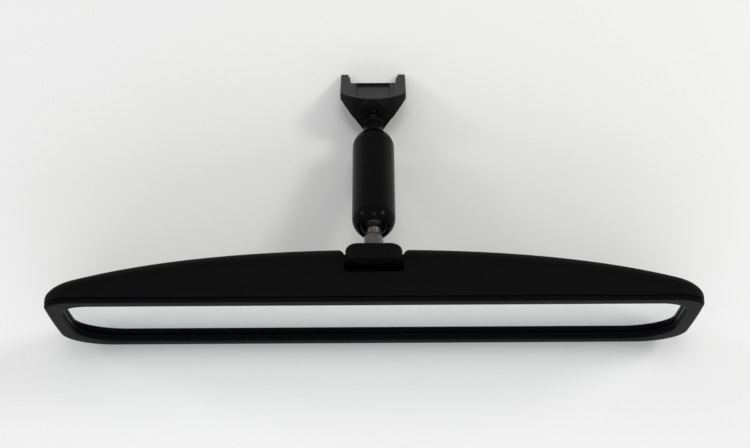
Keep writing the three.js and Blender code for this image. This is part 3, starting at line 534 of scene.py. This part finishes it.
def mirrored(side):  # a half outline and its other half
    return side + [(-x, y) for x, y in reversed(side)]


def thread(radius, root, start, length, turns, rise):  # crests and roots up a screw
    heights = [start + length * k / turns for k in range(turns)]
    return [point for height in heights for point in ((radius, height), (radius - root, height + rise))]


def ballProfile(neck, steps):  # from the ball's far pole to where its neck leaves it
    ball = armSize["ballRadius"]
    foot = 90.0 - degrees(acos(neck / ball))
    return [(nearAxis, -ball)] + polarArc(ball, 178.0, foot, steps)


def filleted(profile, radius, steps):  # every sharp corner of an open profile eased
    straight, share = 155.0, 0.45  # corners flatter than this stay, and a curve takes less than half a side
    eased = [profile[0]]
    for last, point, following in zip(profile, profile[1:], profile[2:]):
        here = Vector(point)
        before, after = Vector(last) - here, Vector(following) - here
        if degrees(before.angle(after)) > straight:
            eased.append(point)
            continue
        reach = min(radius, share * before.length, share * after.length)
        start, end = (tuple(here + way.normalized() * reach) for way in (before, after))
        eased += curveFrom(start, point, end, steps)
    return eased + [profile[-1]]


madeAnew = []


def finishPiece(made, body, slot, nodes, sharp=40.0):
    mesh = made.data
    mesh.materials.clear()
    mesh.materials.append(finishes[slot])
    mesh.polygons.foreach_set("use_smooth", [True] * len(mesh.polygons))
    mesh.set_sharp_from_angle(angle=radians(sharp))
    mesh.update()
    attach(made, body)
    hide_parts(*nodes)
    madeAnew.extend(nodes)


# ---- the head's outline and back ----

headMiddle = headSize["height"] / 2
housingFront = headSize["rimDepth"] + headSize["gap"]


def headOutline(inset=0.0, growth=0.0):  # (x, z) round the head, always the same number of points
    half = headSize["width"] / 2 - inset
    bottom, top = inset, headSize["height"] - inset
    least = 1.0
    low, high = (tuple(max(size - inset + growth, least) for size in headSize[key])
                 for key in ("lowCorner", "highCorner"))
    lowX, lowZ = half - low[0], bottom + low[1]
    highX, highZ = half - high[0], top - high[1]

    def line(start, end, steps):
        return [(start[0] + (end[0] - start[0]) * k / steps, start[1] + (end[1] - start[1]) * k / steps)
                for k in range(steps)]

    def corner(centre, size, start, steps):
        return arc(centre, size, start, start + 90.0, steps)[:-1]

    points = (line((-lowX, bottom), (lowX, bottom), 72) + corner((lowX, lowZ), low, -90.0, 18)
              + line((half, lowZ), (half, highZ), 12) + corner((highX, highZ), high, 0.0, 16)
              + line((highX, top), (-highX, top), 80) + corner((-highX, highZ), high, 90.0, 16)
              + line((-half, highZ), (-half, lowZ), 12) + corner((-lowX, lowZ), low, 180.0, 18))
    bow = 2 * headSize["sideBow"] / headSize["width"]
    return [(x * (1 - bow * ((z - headMiddle) / headMiddle) ** 2), z) for x, z in points]


def backDepth(x, z):
    share = 2 * x / headSize["width"]
    up = (z - headMiddle) / headMiddle
    curve = headSize["sweepCurve"]
    sweep = (headSize["edgeDepth"] - headSize["endDepth"]) * ((1 - curve) * share ** 2 + curve * share ** 4)
    crown = headSize["crown"] * (1 - up ** 2) * (1 - headSize["crownFade"] * share ** 2)
    return headSize["edgeDepth"] - sweep + crown


def edgeDrop(x, z, wall, turn):
    room = headSize["edgeShare"] * (backDepth(x, z) - wall - housingFront)
    return min(headSize["edgeRadius"] - wall, room) * (1 - sin(turn))


def bucketRings(wall, steps=12, faceSteps=18):  # from the start of the rounded edge to the middle
    radius = headSize["edgeRadius"] - wall
    rings = []
    for k in range(steps + 1):
        turn = pi / 2 * k / steps
        outline = headOutline(wall + radius * (1 - cos(turn)))
        rings.append([(x, backDepth(x, z) - wall - edgeDrop(x, z, wall, turn), z) for x, z in outline])
    edge = headOutline(wall + radius)
    for k in range(1, faceSteps):
        share = 1 - k / faceSteps
        shrunk = [(x * share, headMiddle + (z - headMiddle) * share) for x, z in edge]
        rings.append([(x, backDepth(x, z) - wall, z) for x, z in shrunk])
    return rings


def flatRing(inset, depth, growth=0.0):
    return [(x, depth(x, z) if callable(depth) else depth, z) for x, z in headOutline(inset, growth)]


# ---- rear housing ----

notchSize = {"width": 22.8, "front": 11.7, "floor": 51.5, "flare": 3.2, "flareFloor": 47.0, "corner": 1.2,
             "lap": 0.5, "bulge": 0.7, "runOut": 0.8}
studHoleSize = {"radius": 7.6, "front": 16.0}
housingSize = {"rimEase": 0.35, "sideRings": 6}


def notchTools():  # a slot seen from above, with back corners that flare out and go deeper
    half, flare, ease = notchSize["width"] / 2, notchSize["flare"], notchSize["corner"]
    front, start = notchSize["front"], headSize["edgeDepth"] - notchSize["flare"]
    behind = headSize["edgeDepth"] + headSize["crown"] + headSize["edgeRadius"]
    above = headSize["height"] + 2
    right = curveFrom((half - ease, front), (half, front), (half, front + ease), 6) + [(half, behind)]
    tools = [prism("slotTool", mirrored(right), "z", notchSize["floor"], above, headFrame)]
    inside, corner = half - notchSize["lap"], (half + flare, start + flare + notchSize["runOut"])
    for side in (-1, 1):
        handle = (half, start + notchSize["bulge"] * flare)
        wing = [(inside, start)] + curveFrom((half, start), handle, corner, 8)
        wing += [(half + flare, behind - 1), (inside, behind - 1)]
        tools.append(prism("wingTool", [(side * x, y) for x, y in wing], "z", notchSize["flareFloor"],
                           above - 1, headFrame))
    return tools


def rearHousing():
    wall, ease = headSize["wall"], housingSize["rimEase"]
    start = housingFront + ease
    outer = bucketRings(0.0)
    inner = bucketRings(wall, 8, 12)
    side = []
    for k in range(1, housingSize["sideRings"]):
        share = k / housingSize["sideRings"]
        side.append([(x, start + (y - start) * share, z) for x, y, z in outer[0]])
    rim = [flatRing(0.0, start), flatRing(0.3 * ease, housingFront + 0.3 * ease),
           flatRing(ease, housingFront), flatRing(wall - ease, housingFront),
           flatRing(wall - 0.3 * ease, housingFront + 0.3 * ease), flatRing(wall, start)]
    rings = list(reversed(outer)) + list(reversed(side)) + rim + inner
    points, faces = ringsToMesh(rings)
    shell = makeObject("rearHousing", points, faces, headFrame)
    deepest = headSize["edgeDepth"] + headSize["crown"]
    height = armSize["nearHeight"] + (armSize["nearDepth"] - deepest) * tan(radians(studRise))
    hole = rod("holeTool", "y", studHoleSize["radius"], studHoleSize["front"], deepest + 6, (0.0, height),
               headFrame, 96)
    combine(shell, "DIFFERENCE", *notchTools(), hole)
    finishPiece(shell, "case", "grained_black", ["rear_housing"], 35.0)


rearHousing()
print("stage: rear housing made")


# ---- front bezel, glass ----

bezelSize = {"edge": 1.2, "lip": 6.6, "growth": 6.0, "setback": 2.8, "skirt": 9.6, "skirtWall": 1.5,
             "skirtGap": 0.6}
glassSize = {"bottom": 4.6, "top": 2.2, "arris": 0.35}
skirtInset = headSize["wall"] + bezelSize["skirtGap"]
glassInset = skirtInset + bezelSize["skirtWall"] + headSize["gap"]


def skirtEnd(x, z):
    turn = acos(1 - bezelSize["skirtGap"] / (headSize["edgeRadius"] - headSize["wall"]))
    inside = backDepth(x, z) - headSize["wall"] - edgeDrop(x, z, headSize["wall"], turn)
    return min(bezelSize["skirt"], inside - bezelSize["skirtGap"])


def frontBezel():
    edge, lip, growth = bezelSize["edge"], bezelSize["lip"], bezelSize["growth"]
    ledge = bezelSize["setback"] - headSize["gap"]
    inner = skirtInset + bezelSize["skirtWall"]
    rings = [flatRing(0.15, headSize["rimDepth"]), flatRing(0.0, headSize["rimDepth"] - 0.15)]
    quarter = [pi / 2 * k / 8 for k in range(9)]
    rings += [flatRing(edge * (1 - cos(turn)), edge * (1 - sin(turn))) for turn in quarter]
    for share in (0.25, 0.5, 0.75):  # the lip's face, its inner edge easing into rounder corners
        rings.append(flatRing(edge + (lip - 2 * edge) * share, 0.0, growth * share))
    rings += [flatRing(lip - edge * (1 - sin(turn)), edge * (1 - cos(turn)), growth) for turn in quarter]
    rings += [flatRing(lip, ledge - 0.2, growth), flatRing(lip - 0.1, ledge, growth)]
    rings += [flatRing(inner, ledge), flatRing(inner, skirtEnd), flatRing(skirtInset, skirtEnd),
              flatRing(skirtInset, headSize["rimDepth"])]
    points, faces = ringsToMesh(rings, closed=True)
    finishPiece(makeObject("frontBezel", points, faces, headFrame), "case", "bezel_black",
                ["front_bezel"], 50.0)


def silveredGlass():
    front, arris = bezelSize["setback"], glassSize["arris"]

    def back(x, z):
        share = z / headSize["height"]
        return front + glassSize["bottom"] + (glassSize["top"] - glassSize["bottom"]) * share

    rings = [flatRing(glassInset + arris, front), flatRing(glassInset, front + arris),
             flatRing(glassInset, back)]
    points, faces = ringsToMesh(rings)
    finishPiece(makeObject("silveredGlass", points, faces, headFrame), "case", "mirror_silver",
                ["mirror_glass"], 25.0)


frontBezel()
silveredGlass()
print("stage: bezel and glass made")


# ---- toggle lever with its finger tab ----

leverSize = {"pinDepth": 17.4, "pinHeight": 48.5, "hubRadius": 2.8, "hubHalf": 16.7, "web": 3.6,
             "webHalf": 9.0, "pinRadius": 1.5, "voxel": 0.2, "relax": 5}
tabSize = {"width": 21.8, "front": 15.3, "depth": 5.9, "bottom": 57.6, "rise": 5.9, "corner": (4.8, 6.0),
           "backCorner": (4.6, 1.3), "scoop": 1.6, "scoopWidth": 17.0, "rim": 1.2, "archDrop": 2.4}
fingerSize = {"inner": 6.5, "outer": 10.0, "front": 13.8, "thickness": 1.6, "bottom": 42.6}


def fingerTab():  # rounded at the top corners and at the back ones, hollowed under an arched rim
    half, top, bottom = tabSize["width"] / 2, headSize["height"] + tabSize["rise"], tabSize["bottom"]
    front, back = tabSize["front"], tabSize["front"] + tabSize["depth"]
    across, up = tabSize["corner"]
    face = [(-half, bottom), (half, bottom)]
    face += arc((half - across, top - up), tabSize["corner"], 0.0, 90.0, 16)
    face += arc((across - half, top - up), tabSize["corner"], 90.0, 180.0, 16)
    tab = prism("tab", face, "y", front, back, headFrame)
    across, up = tabSize["backCorner"]
    plan = [(-half, front - 1), (half, front - 1)]
    plan += arc((half - across, back - up), tabSize["backCorner"], 0.0, 90.0, 12)
    plan += arc((across - half, back - up), tabSize["backCorner"], 90.0, 180.0, 12)
    combine(tab, "INTERSECT", prism("plan", plan, "z", bottom - 1, top + 1, headFrame))
    hollow, crest, drop = tabSize["scoopWidth"] / 2, top - tabSize["rim"], tabSize["archDrop"]
    radius = (hollow ** 2 + tabSize["scoop"] ** 2) / (2 * tabSize["scoop"])
    scoop = rod("scoop", "z", radius, bottom - 1, crest + 0.5,
                (0.0, front + tabSize["scoop"] - radius), headFrame, 200)
    arch = [(-hollow, bottom - 2), (hollow, bottom - 2), (hollow, crest - drop)]
    arch += curveThrough((hollow, crest - drop), (0.0, crest + drop), (-hollow, crest - drop), 16)
    combine(scoop, "INTERSECT", prism("arch", arch, "y", front - 2, back, headFrame))
    return combine(tab, "DIFFERENCE", scoop)


def toggleLever():
    pin = (leverSize["pinDepth"], leverSize["pinHeight"])
    lever = rod("toggleLever", "x", leverSize["hubRadius"], -leverSize["hubHalf"], leverSize["hubHalf"],
                pin, headFrame)
    webFront = pin[0] - leverSize["web"] / 2
    web = block("web", (-leverSize["webHalf"], webFront, pin[1] + 1),
                (leverSize["webHalf"], webFront + leverSize["web"], tabSize["bottom"] + 1), headFrame)
    fingers = []
    for side in (-1, 1):
        low, high = sorted((side * fingerSize["inner"], side * fingerSize["outer"]))
        back = fingerSize["front"] + fingerSize["thickness"]
        fingers.append(block("finger", (low, fingerSize["front"], fingerSize["bottom"]),
                             (high, back, pin[1] + 1), headFrame))
        fingers.append(block("tie", (low, fingerSize["front"], pin[1] - 1), (high, pin[0], pin[1] + 1),
                             headFrame))
    combine(lever, "UNION", web, fingerTab(), *fingers)
    reach = leverSize["hubHalf"] + 1
    bore = rod("bore", "x", leverSize["pinRadius"] + headSize["gap"], -reach, reach, pin, headFrame)
    combine(lever, "DIFFERENCE", bore)
    softened(lever, leverSize["voxel"], leverSize["relax"])
    finishPiece(lever, "lever", "grained_black", ["toggle_lever"], 180.0)


toggleLever()
print("stage: toggle lever made")


# ---- head stud ----

studSize = {"neck": 3.15, "across": 6.8, "roll": 12.0, "start": 8.5, "end": 15.6, "edge": 4.2, "tenon": 2.5,
            "sides": 144}


def headStud():
    neck, flat, start, end = studSize["neck"], studSize["across"] / 2, studSize["start"], studSize["end"]
    edge, tenon = studSize["edge"], studSize["tenon"]
    tenonEnd = (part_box("head_ball_stud")[0].y / mm - nearBall.y) / -cos(radians(studRise))
    tenonEnd -= tenon * tan(radians(studRise))
    profile = ballProfile(neck, 40)
    profile += [(neck + 0.15, profile[-1][1] + 0.35), (neck, profile[-1][1] + 0.8), (neck, start - 0.3),
                (neck + 0.25, start)]
    steps = 10
    profile += [(flat + (edge - flat) * k / steps, start + k / steps) for k in range(steps + 1)]
    profile += [(edge, start + 1 + (end - start - 1.2) * k / 6) for k in range(1, 7)]
    profile += [(edge - 0.2, end), (tenon, end), (tenon, tenonEnd - 0.3), (tenon - 0.3, tenonEnd),
                (nearAxis, tenonEnd)]
    roll = radians(studSize["roll"])

    def squared(angle, radius, height):
        if not start < height <= end or radius <= flat:
            return radius
        nearest = max(abs(cos(angle + roll)), abs(sin(angle + roll)))
        return min(radius, flat / nearest)

    stud = turned("headBallStud", profile, studFrame, studSize["sides"], squared)
    finishPiece(stud, "carrier", "zinc_plate", ["head_ball_stud"], 22.0)


headStud()


# ---- arm: tube, liners, coil spring ----

linerSize = {"gap": 0.3, "thickness": 0.6, "mouth": 46.0, "back": 95.0}
cupSize = {"length": 9.5, "noseRadius": 3.8}
springSize = {"wire": 0.9, "turns": 5.0}
seatRadius = armSize["tubeRadius"] - armSize["tubeWall"]


def armTube():
    outer, inner, length = armSize["tubeRadius"], seatRadius, armSize["length"]
    mouth = armSize["mouthRadius"]
    outerMouth = degrees(asin(mouth / outer))
    innerMouth = degrees(asin(mouth / inner))
    lip = 2.4  # degrees of the dome that the rolled lip takes
    outerFar = [(r, length + h) for r, h in polarArc(outer, 90.0, outerMouth + lip, 22)]
    innerFar = [(r, length + h) for r, h in polarArc(inner, innerMouth + lip, 90.0, 14)]
    start, end = outerFar[-1], innerFar[0]
    corner = (mouth - 0.25, (start[1] + end[1]) / 2)
    lipFar = curveThrough(start, corner, end, 8)[:-1]
    half = outerFar + lipFar + innerFar
    other = [(r, length - h) for r, h in reversed(half)]
    profile = half + other + [half[0]]
    tube = turned("armTube", profile, armFrame, 128)
    finishPiece(tube, "arm", "tube_black", ["arm_tube"], 60.0)


def ballLiner(name, place, body, node):
    inner = armSize["ballRadius"] + linerSize["gap"]
    outer = inner + linerSize["thickness"]
    rise = polarArc(outer, linerSize["mouth"] + 1.5, linerSize["back"], 18)
    back = polarArc(inner, linerSize["back"], linerSize["mouth"] + 1.5, 18)
    turn = radians(linerSize["mouth"])
    middle = (inner + outer) / 2
    crest = (middle * sin(turn) * 0.985, middle * cos(turn) * 1.01)
    rim = curveThrough(back[-1], crest, rise[0], 6)[:-1]
    liner = turned(name, rise + back + rim + [rise[0]], place, 96)
    finishPiece(liner, body, "liner_grey", [node], 50.0)


def newTree(name, *numbers):  # an empty tree and the sockets of its named numbers
    tree = bpy.data.node_groups.new(name, "GeometryNodeTree")
    for number in numbers:
        tree.interface.new_socket(number, in_out="INPUT", socket_type="NodeSocketFloat")
    tree.interface.new_socket("Geometry", in_out="OUTPUT", socket_type="NodeSocketGeometry")
    return tree, tree.nodes.new("NodeGroupInput").outputs


def treeNode(tree, kind, inputs, output=0):
    made = tree.nodes.new(kind)
    for key, value in inputs.items():
        if isinstance(value, bpy.types.NodeSocket):
            tree.links.new(value, made.inputs[key])
        else:
            made.inputs[key].default_value = value
    return made.outputs[output] if made.outputs else made


def closeTree(tree, shape, material):
    real = treeNode(tree, "GeometryNodeRealizeInstances", {"Geometry": shape})
    paint = treeNode(tree, "GeometryNodeSetMaterial", {"Geometry": real, "Material": material})
    treeNode(tree, "NodeGroupOutput", {"Geometry": paint})
    return tree


def coilTree(material):  # a round wire wound along Z, its two ends capped
    tree, given = newTree("coilSpring", "Radius", "Length", "Turns", "Wire")
    path = treeNode(tree, "GeometryNodeCurveSpiral",
                    {"Resolution": 40, "Rotations": given["Turns"], "Start Radius": given["Radius"],
                     "End Radius": given["Radius"], "Height": given["Length"]})
    section = treeNode(tree, "GeometryNodeCurvePrimitiveCircle", {"Resolution": 16, "Radius": given["Wire"]})
    wire = treeNode(tree, "GeometryNodeCurveToMesh",
                    {"Fill Caps": True, "Curve": path, "Profile Curve": section})
    return closeTree(tree, wire, material)


def grown(name, tree, values, place):  # runs a tree and keeps its plain mesh, laid out by place
    made = shown(name, bpy.data.meshes.new(name))
    step = made.modifiers.new("grow", "NODES")
    step.node_group = tree
    for item in tree.interface.items_tree:
        if item.item_type == "SOCKET" and item.in_out == "INPUT" and item.name in values:
            step[item.identifier] = values[item.name]
    settle(made)
    scaled = Matrix.Scale(mm, 4) @ place @ Matrix.Scale(1 / mm, 4)
    made.data.transform(scaled)
    faceOutwards(made)
    return made


def armSpring():
    clear = cupSize["length"] + springSize["wire"] + 2 * headSize["gap"]
    radius = (cupSize["noseRadius"] + seatRadius - headSize["gap"]) / 2
    values = {"Radius": radius * mm, "Length": (armSize["length"] - 2 * clear) * mm,
              "Turns": springSize["turns"], "Wire": springSize["wire"] * mm}
    upright = turnAbout(-pi / 2, 4, "X")  # the tree winds along Z, the arm runs along Y
    place = armFrame @ moveBy((0.0, clear, 0.0)) @ upright
    spring = grown("armSpring", coilTree(finishes["spring_steel"]), values, place)
    finishPiece(spring, "arm", "spring_steel", ["arm_spring"], 50.0)


armTube()
ballLiner("nearBallLiner", nearSocket, "near_liner", "near_ball_liner")
ballLiner("farBallLiner", farSocket, "far_liner", "far_ball_liner")
armSpring()
print("stage: arm made")


# ---- windshield bracket, its ball stud and set screw ----

castSize = {"width": 28.2, "face": 18.7, "lip": 10.5, "lipCorner": 17.5, "wallReach": 13.4,
            "wallHeight": 8.5, "tipReach": 40.48, "fullness": 0.6, "stubRadius": 4.05, "stubStart": 9.2,
            "stubTop": 17.0, "voxel": 0.26, "relax": 6}
channelSize = {"depth": 2.8, "front": 17.6, "back": 21.4, "lipWall": 2.0, "round": 4.0, "floorReach": 37.6,
               "recessWidth": 14.2, "recessDepth": 0.9, "recessStart": 13.4, "recessEnd": 36.6,
               "undercut": 0.7, "undercutHeight": 1.1}
setScrewSize = {"radius": 1.6, "length": 4.5, "foot": (11.3, 10.2), "tip": (14.9, 15.6), "socket": 0.9,
                "socketDepth": 1.8, "root": 0.16, "turns": 9}
socketSize = {"radius": 3.2, "depth": 6.0}
boreRun = (setScrewSize["tip"][0] - setScrewSize["foot"][0], setScrewSize["tip"][1] - setScrewSize["foot"][1])
boreLean = atan2(boreRun[0], boreRun[1])


def bracketSolid():
    angle = radians(bracketSize["neckAngle"])
    neckDirection = (cos(angle), sin(angle))
    radius, half = castSize["stubRadius"], castSize["width"] / 2
    face, lip, tip = castSize["face"], castSize["lip"], castSize["tipReach"]
    inside = castSize["stubStart"] + 3
    foot = (neckDirection[0] * inside + radius * neckDirection[1],
            neckDirection[1] * inside - radius * neckDirection[0])
    full = face - channelSize["depth"]
    side = [foot, (bracketSize["heelReach"], bracketSize["heelHeight"]),
            (tip, face), (lip, face), (lip + 0.5, full - 1.5),
            (castSize["wallReach"], castSize["wallHeight"])]
    body = prism("windshieldBracket", side, "x", -castSize["width"], castSize["width"], bracketFrame)

    neckTop = castSize["stubStart"] * sin(angle) - 0.2
    bottom = castSize["wallHeight"] - 2 * radius - 1
    waist = half * castSize["fullness"]
    flank = [(radius, bottom)] + curveFrom((radius, neckTop), (waist, (neckTop + full) / 2), (half, full), 24)
    flank += [(half, face)]
    flare = prism("flare", mirrored(flank), "y", 0.0, tip + 5, bracketFrame)

    bulge = castSize["lipCorner"] - lip
    plan = [(half, tip), (-half, tip)]
    bow = (half ** 2 + bulge ** 2) / (2 * bulge)
    turn = degrees(asin(half / bow))
    plan += arc((0.0, lip + bow), bow, -90.0 - turn, -90.0 + turn, 36)
    seen = prism("plan", plan, "z", -face, 2 * face, bracketFrame)
    combine(body, "INTERSECT", flare, seen)

    stub = rod("stub", "y", radius, castSize["stubStart"], castSize["stubTop"], place=bracketNeck)
    combine(body, "UNION", stub)
    return body


def channelTools():
    face, grow = castSize["face"], channelSize["undercut"]
    floor = face - channelSize["depth"]
    beyond = castSize["tipReach"] + 6
    start = castSize["lip"] + channelSize["lipWall"]
    corner = castSize["lipCorner"] - castSize["lip"] - 1.5

    def tapered(name, more, low, high):
        front, back = channelSize["front"] / 2 + more, channelSize["back"] / 2 + more
        ease = channelSize["round"]
        right = curveFrom((front - ease, start), (front, start), (front, start + corner), 12)
        return prism(name, mirrored(right + [(back, beyond)]), "z", low, high, bracketFrame)

    half = channelSize["recessWidth"] / 2
    pocket = block("pocket", (-half, channelSize["recessStart"], floor - channelSize["recessDepth"]),
                   (half, channelSize["recessEnd"], floor + 1), bracketFrame)
    wide = channelSize["back"] / 2
    openEnd = block("openEnd", (-wide, channelSize["floorReach"], bracketSize["heelHeight"] - 6),
                    (wide, beyond + 1, face + 3), bracketFrame)
    undercut = tapered("undercut", grow, floor - 0.002, floor + channelSize["undercutHeight"])
    return [openEnd, tapered("channel", 0.0, floor, face + 2), undercut, pocket]


def windshieldBracket():
    body = bracketSolid()
    combine(body, "DIFFERENCE", *channelTools())
    socket = rod("socket", "y", socketSize["radius"], castSize["stubStart"] - 1,
                 castSize["stubStart"] + socketSize["depth"], place=bracketNeck)
    leaning = (bracketFrame @ moveBy((0.0, *setScrewSize["foot"]))
               @ turnAbout(-boreLean, 4, "X"))
    driver = rod("driver", "z", setScrewSize["radius"] + headSize["gap"], 0.0, hypot(*boreRun) + 4,
                 place=leaning)
    combine(body, "DIFFERENCE", socket, driver)
    softened(body, castSize["voxel"], castSize["relax"])
    finishPiece(body, "bracket", "cast_black", ["windshield_bracket"], 180.0)


def bracketStud():
    neck, start = armSize["neckRadius"], castSize["stubStart"]
    shank = socketSize["radius"] - headSize["gap"]
    end = start + socketSize["depth"] - headSize["gap"]
    profile = ballProfile(neck, 36) + [(neck, start - 1.2), (shank, start - 0.9), (shank, end - 0.3),
                                       (shank - 0.3, end), (nearAxis, end)]
    stud = turned("bracketBallStud", profile, bracketNeck, 96)
    finishPiece(stud, "bracket", "cast_black", ["bracket_ball_stud"], 30.0)


def setScrew():
    radius, length = setScrewSize["radius"], setScrewSize["length"]
    seat = (bracketFrame @ moveBy((0.0, *setScrewSize["tip"]))
            @ turnAbout(pi / 2 - boreLean, 4, "X") @ moveBy((0.0, -length, 0.0)))
    profile = [(nearAxis, 0.0), (radius - 0.3, 0.0), (radius, 0.3)]
    profile += thread(radius, setScrewSize["root"], 0.5, length - 1.5, setScrewSize["turns"], 0.25)
    profile += [(radius, length - 0.9), (radius * 0.6, length), (nearAxis, length)]
    screw = turned("setScrew", profile, seat, 64)
    hexagon = rod("hexSocket", "y", setScrewSize["socket"], -1.0, setScrewSize["socketDepth"], (0.0, 0.0),
                  seat, 6)
    combine(screw, "DIFFERENCE", hexagon)
    finishPiece(screw, "bracket", "black_oxide", ["set_screw"], 28.0)


windshieldBracket()
bracketStud()
setScrew()
print("stage: bracket made")


# ---- base screws, repeated by a tree ----

screwSize = {"across": 25.0, "low": 10.5, "high": 49.5, "radius": 1.3, "length": 7.6, "headRadius": 2.6,
             "headHeight": 1.2, "slot": 0.3, "seatDepth": 11.3, "root": 0.22, "turns": 8}


def screwTree(pattern, material):  # one screw at each corner of a rectangle
    tree, given = newTree("baseScrews", "Width", "Height")
    sides = {"Size X": given["Width"], "Size Y": given["Height"]}
    corners = treeNode(tree, "GeometryNodeMeshGrid", {"Vertices X": 2, "Vertices Y": 2, **sides})
    single = treeNode(tree, "GeometryNodeObjectInfo", {"Object": pattern}, "Geometry")
    repeat = treeNode(tree, "GeometryNodeInstanceOnPoints", {"Points": corners, "Instance": single})
    return closeTree(tree, repeat, material)


def baseScrews():
    radius, length, root, turns = (screwSize[key] for key in ("radius", "length", "root", "turns"))
    wide, high = screwSize["headRadius"], screwSize["headHeight"]
    profile = [(nearAxis, -high), (wide * 0.6, -high), (wide, -high * 0.4), (wide, 0.0), (radius, 0.0)]
    profile += thread(radius, root, 0.6, length - 2.2, turns, 0.34)
    profile += [(radius, length - 1.2), (nearAxis, length)]
    single = turned("screwPattern", filleted(profile, 0.12, 2), turnAbout(pi / 2, 4, "X"), 48)
    half = screwSize["slot"]
    slot = block("slot", (-wide - 1, -half, -high / 2 - 3), (wide + 1, half, -high / 2))
    combine(single, "DIFFERENCE", slot)
    low, top = screwSize["low"], screwSize["high"]
    values = {"Width": 2 * screwSize["across"] * mm, "Height": (top - low) * mm}
    middle = (0.0, frontPlane + screwSize["seatDepth"], (low + top) / 2)
    place = moveBy(middle) @ turnAbout(pi / 2, 4, "X") @ turnAbout(pi, 4, "X")
    screws = grown("baseScrews", screwTree(single, finishes["zinc_plate"]), values, place)
    bpy.data.objects.remove(single, do_unlink=True)
    finishPiece(screws, "case", "zinc_plate", [f"base_screw_{k}" for k in range(1, 5)], 35.0)


baseScrews()
print("stage: base screws made")


# ---- CAD nodes that stay as they are, in a better finish ----

slotOf = {entry["node"]: entry["material_slot"] for entry in frame["record"]["subparts"]}
for node in sorted(set(frame["nodes"]) - set(madeAnew)):
    piece, finish = frame["nodes"][node], finishes[slotOf[node]]
    if not piece.material_slots:
        piece.data.materials.append(finish)
    for used in piece.material_slots:
        used.link = "OBJECT"
        used.material = finish
print("stage: inner pieces finished")


# ---- table, light and camera ----

tableValues = {"reach": 2.6, "base": (0.800, 0.803, 0.795), "shade": (0.778, 0.782, 0.775)}


def tableTop():
    reach = tableValues["reach"]
    mesh = bpy.data.meshes.new("tableTop")
    mesh.from_pydata([(-reach, -reach, 0.0), (reach, -reach, 0.0), (reach, reach, 0.0), (-reach, reach, 0.0)],
                     [], [(0, 1, 2, 3)])
    top = shown("tableTop", mesh)
    look = Look("paleLaminate")
    place = look.object()
    cloud = look.noise(place, 120.0, 3.0)
    fine = look.noise(place, 1.2, 2.0)
    mesh.materials.append(look.surface(
        Base_Color=look.tint(cloud, tableValues["base"], tableValues["shade"]),
        Roughness=look.spread(look.limit(fine), 0.55, 0.68),
        Specular_IOR_Level=0.25,
        Normal=look.bump(fine, 0.02, 0.2)))


lightValues = {
    "keyRight": {"place": (1.30, 0.40, 1.19), "size": (0.42, 0.42), "watts": 8.0,
                 "colour": (1.0, 0.985, 0.96)},
    "fillLeft": {"place": (-1.50, 0.45, 0.77), "size": (0.34, 0.34), "watts": 4.0,
                 "colour": (0.96, 0.98, 1.0)},
    "ceiling": {"place": (0.02, 0.12, 1.70), "size": (0.50, 0.30), "watts": 4.0, "colour": (1.0, 1.0, 1.0)},
    "front": {"place": (0.10, -1.25, 0.75), "size": (1.8, 0.6), "watts": 8.5, "colour": (0.93, 0.96, 1.0)},
}
roomValues = {"colour": (1.0, 0.995, 0.99), "strength": 0.62}


def softLight(name, values):
    lamp = bpy.data.lights.new(name, "AREA")
    lamp.shape = "RECTANGLE"
    lamp.size, lamp.size_y = values["size"]
    lamp.energy = values["watts"]
    lamp.color = values["colour"]
    holder = shown(name, lamp)
    holder.location = values["place"]
    aim = Vector((0.0, 0.0, 0.02)) - Vector(values["place"])
    holder.rotation_euler = aim.to_track_quat("-Z", "Y").to_euler()


def room():
    world = bpy.data.worlds.new("room")
    world.use_nodes = True
    back = world.node_tree.nodes["Background"]
    back.inputs["Color"].default_value = (*roomValues["colour"], 1.0)
    back.inputs["Strength"].default_value = roomValues["strength"]
    bpy.context.scene.world = world


cameraValues = {"place": (0.0005, -0.2305, 0.6000), "forward": (0.0, 0.3469, -0.9379), "lens": 72.0,
                "sensor": 36.0, "roll": 0.33}


def viewer():
    data = bpy.data.cameras.new("viewer")
    data.lens = cameraValues["lens"]
    data.sensor_width = cameraValues["sensor"]
    holder = shown("viewer", data)
    turn = Vector(cameraValues["forward"]).to_track_quat("-Z", "Y").to_matrix().to_4x4()
    roll = turnAbout(-radians(cameraValues["roll"]), 4, "Z")
    holder.matrix_world = moveBy(cameraValues["place"]) @ turn @ roll
    bpy.context.scene.camera = holder


tableTop()
for name, values in lightValues.items():
    softLight(name, values)
room()
viewer()
bpy.context.scene.view_settings.view_transform = "Standard"
bpy.context.scene.view_settings.look = "None"
print("stage: table, light and camera set")
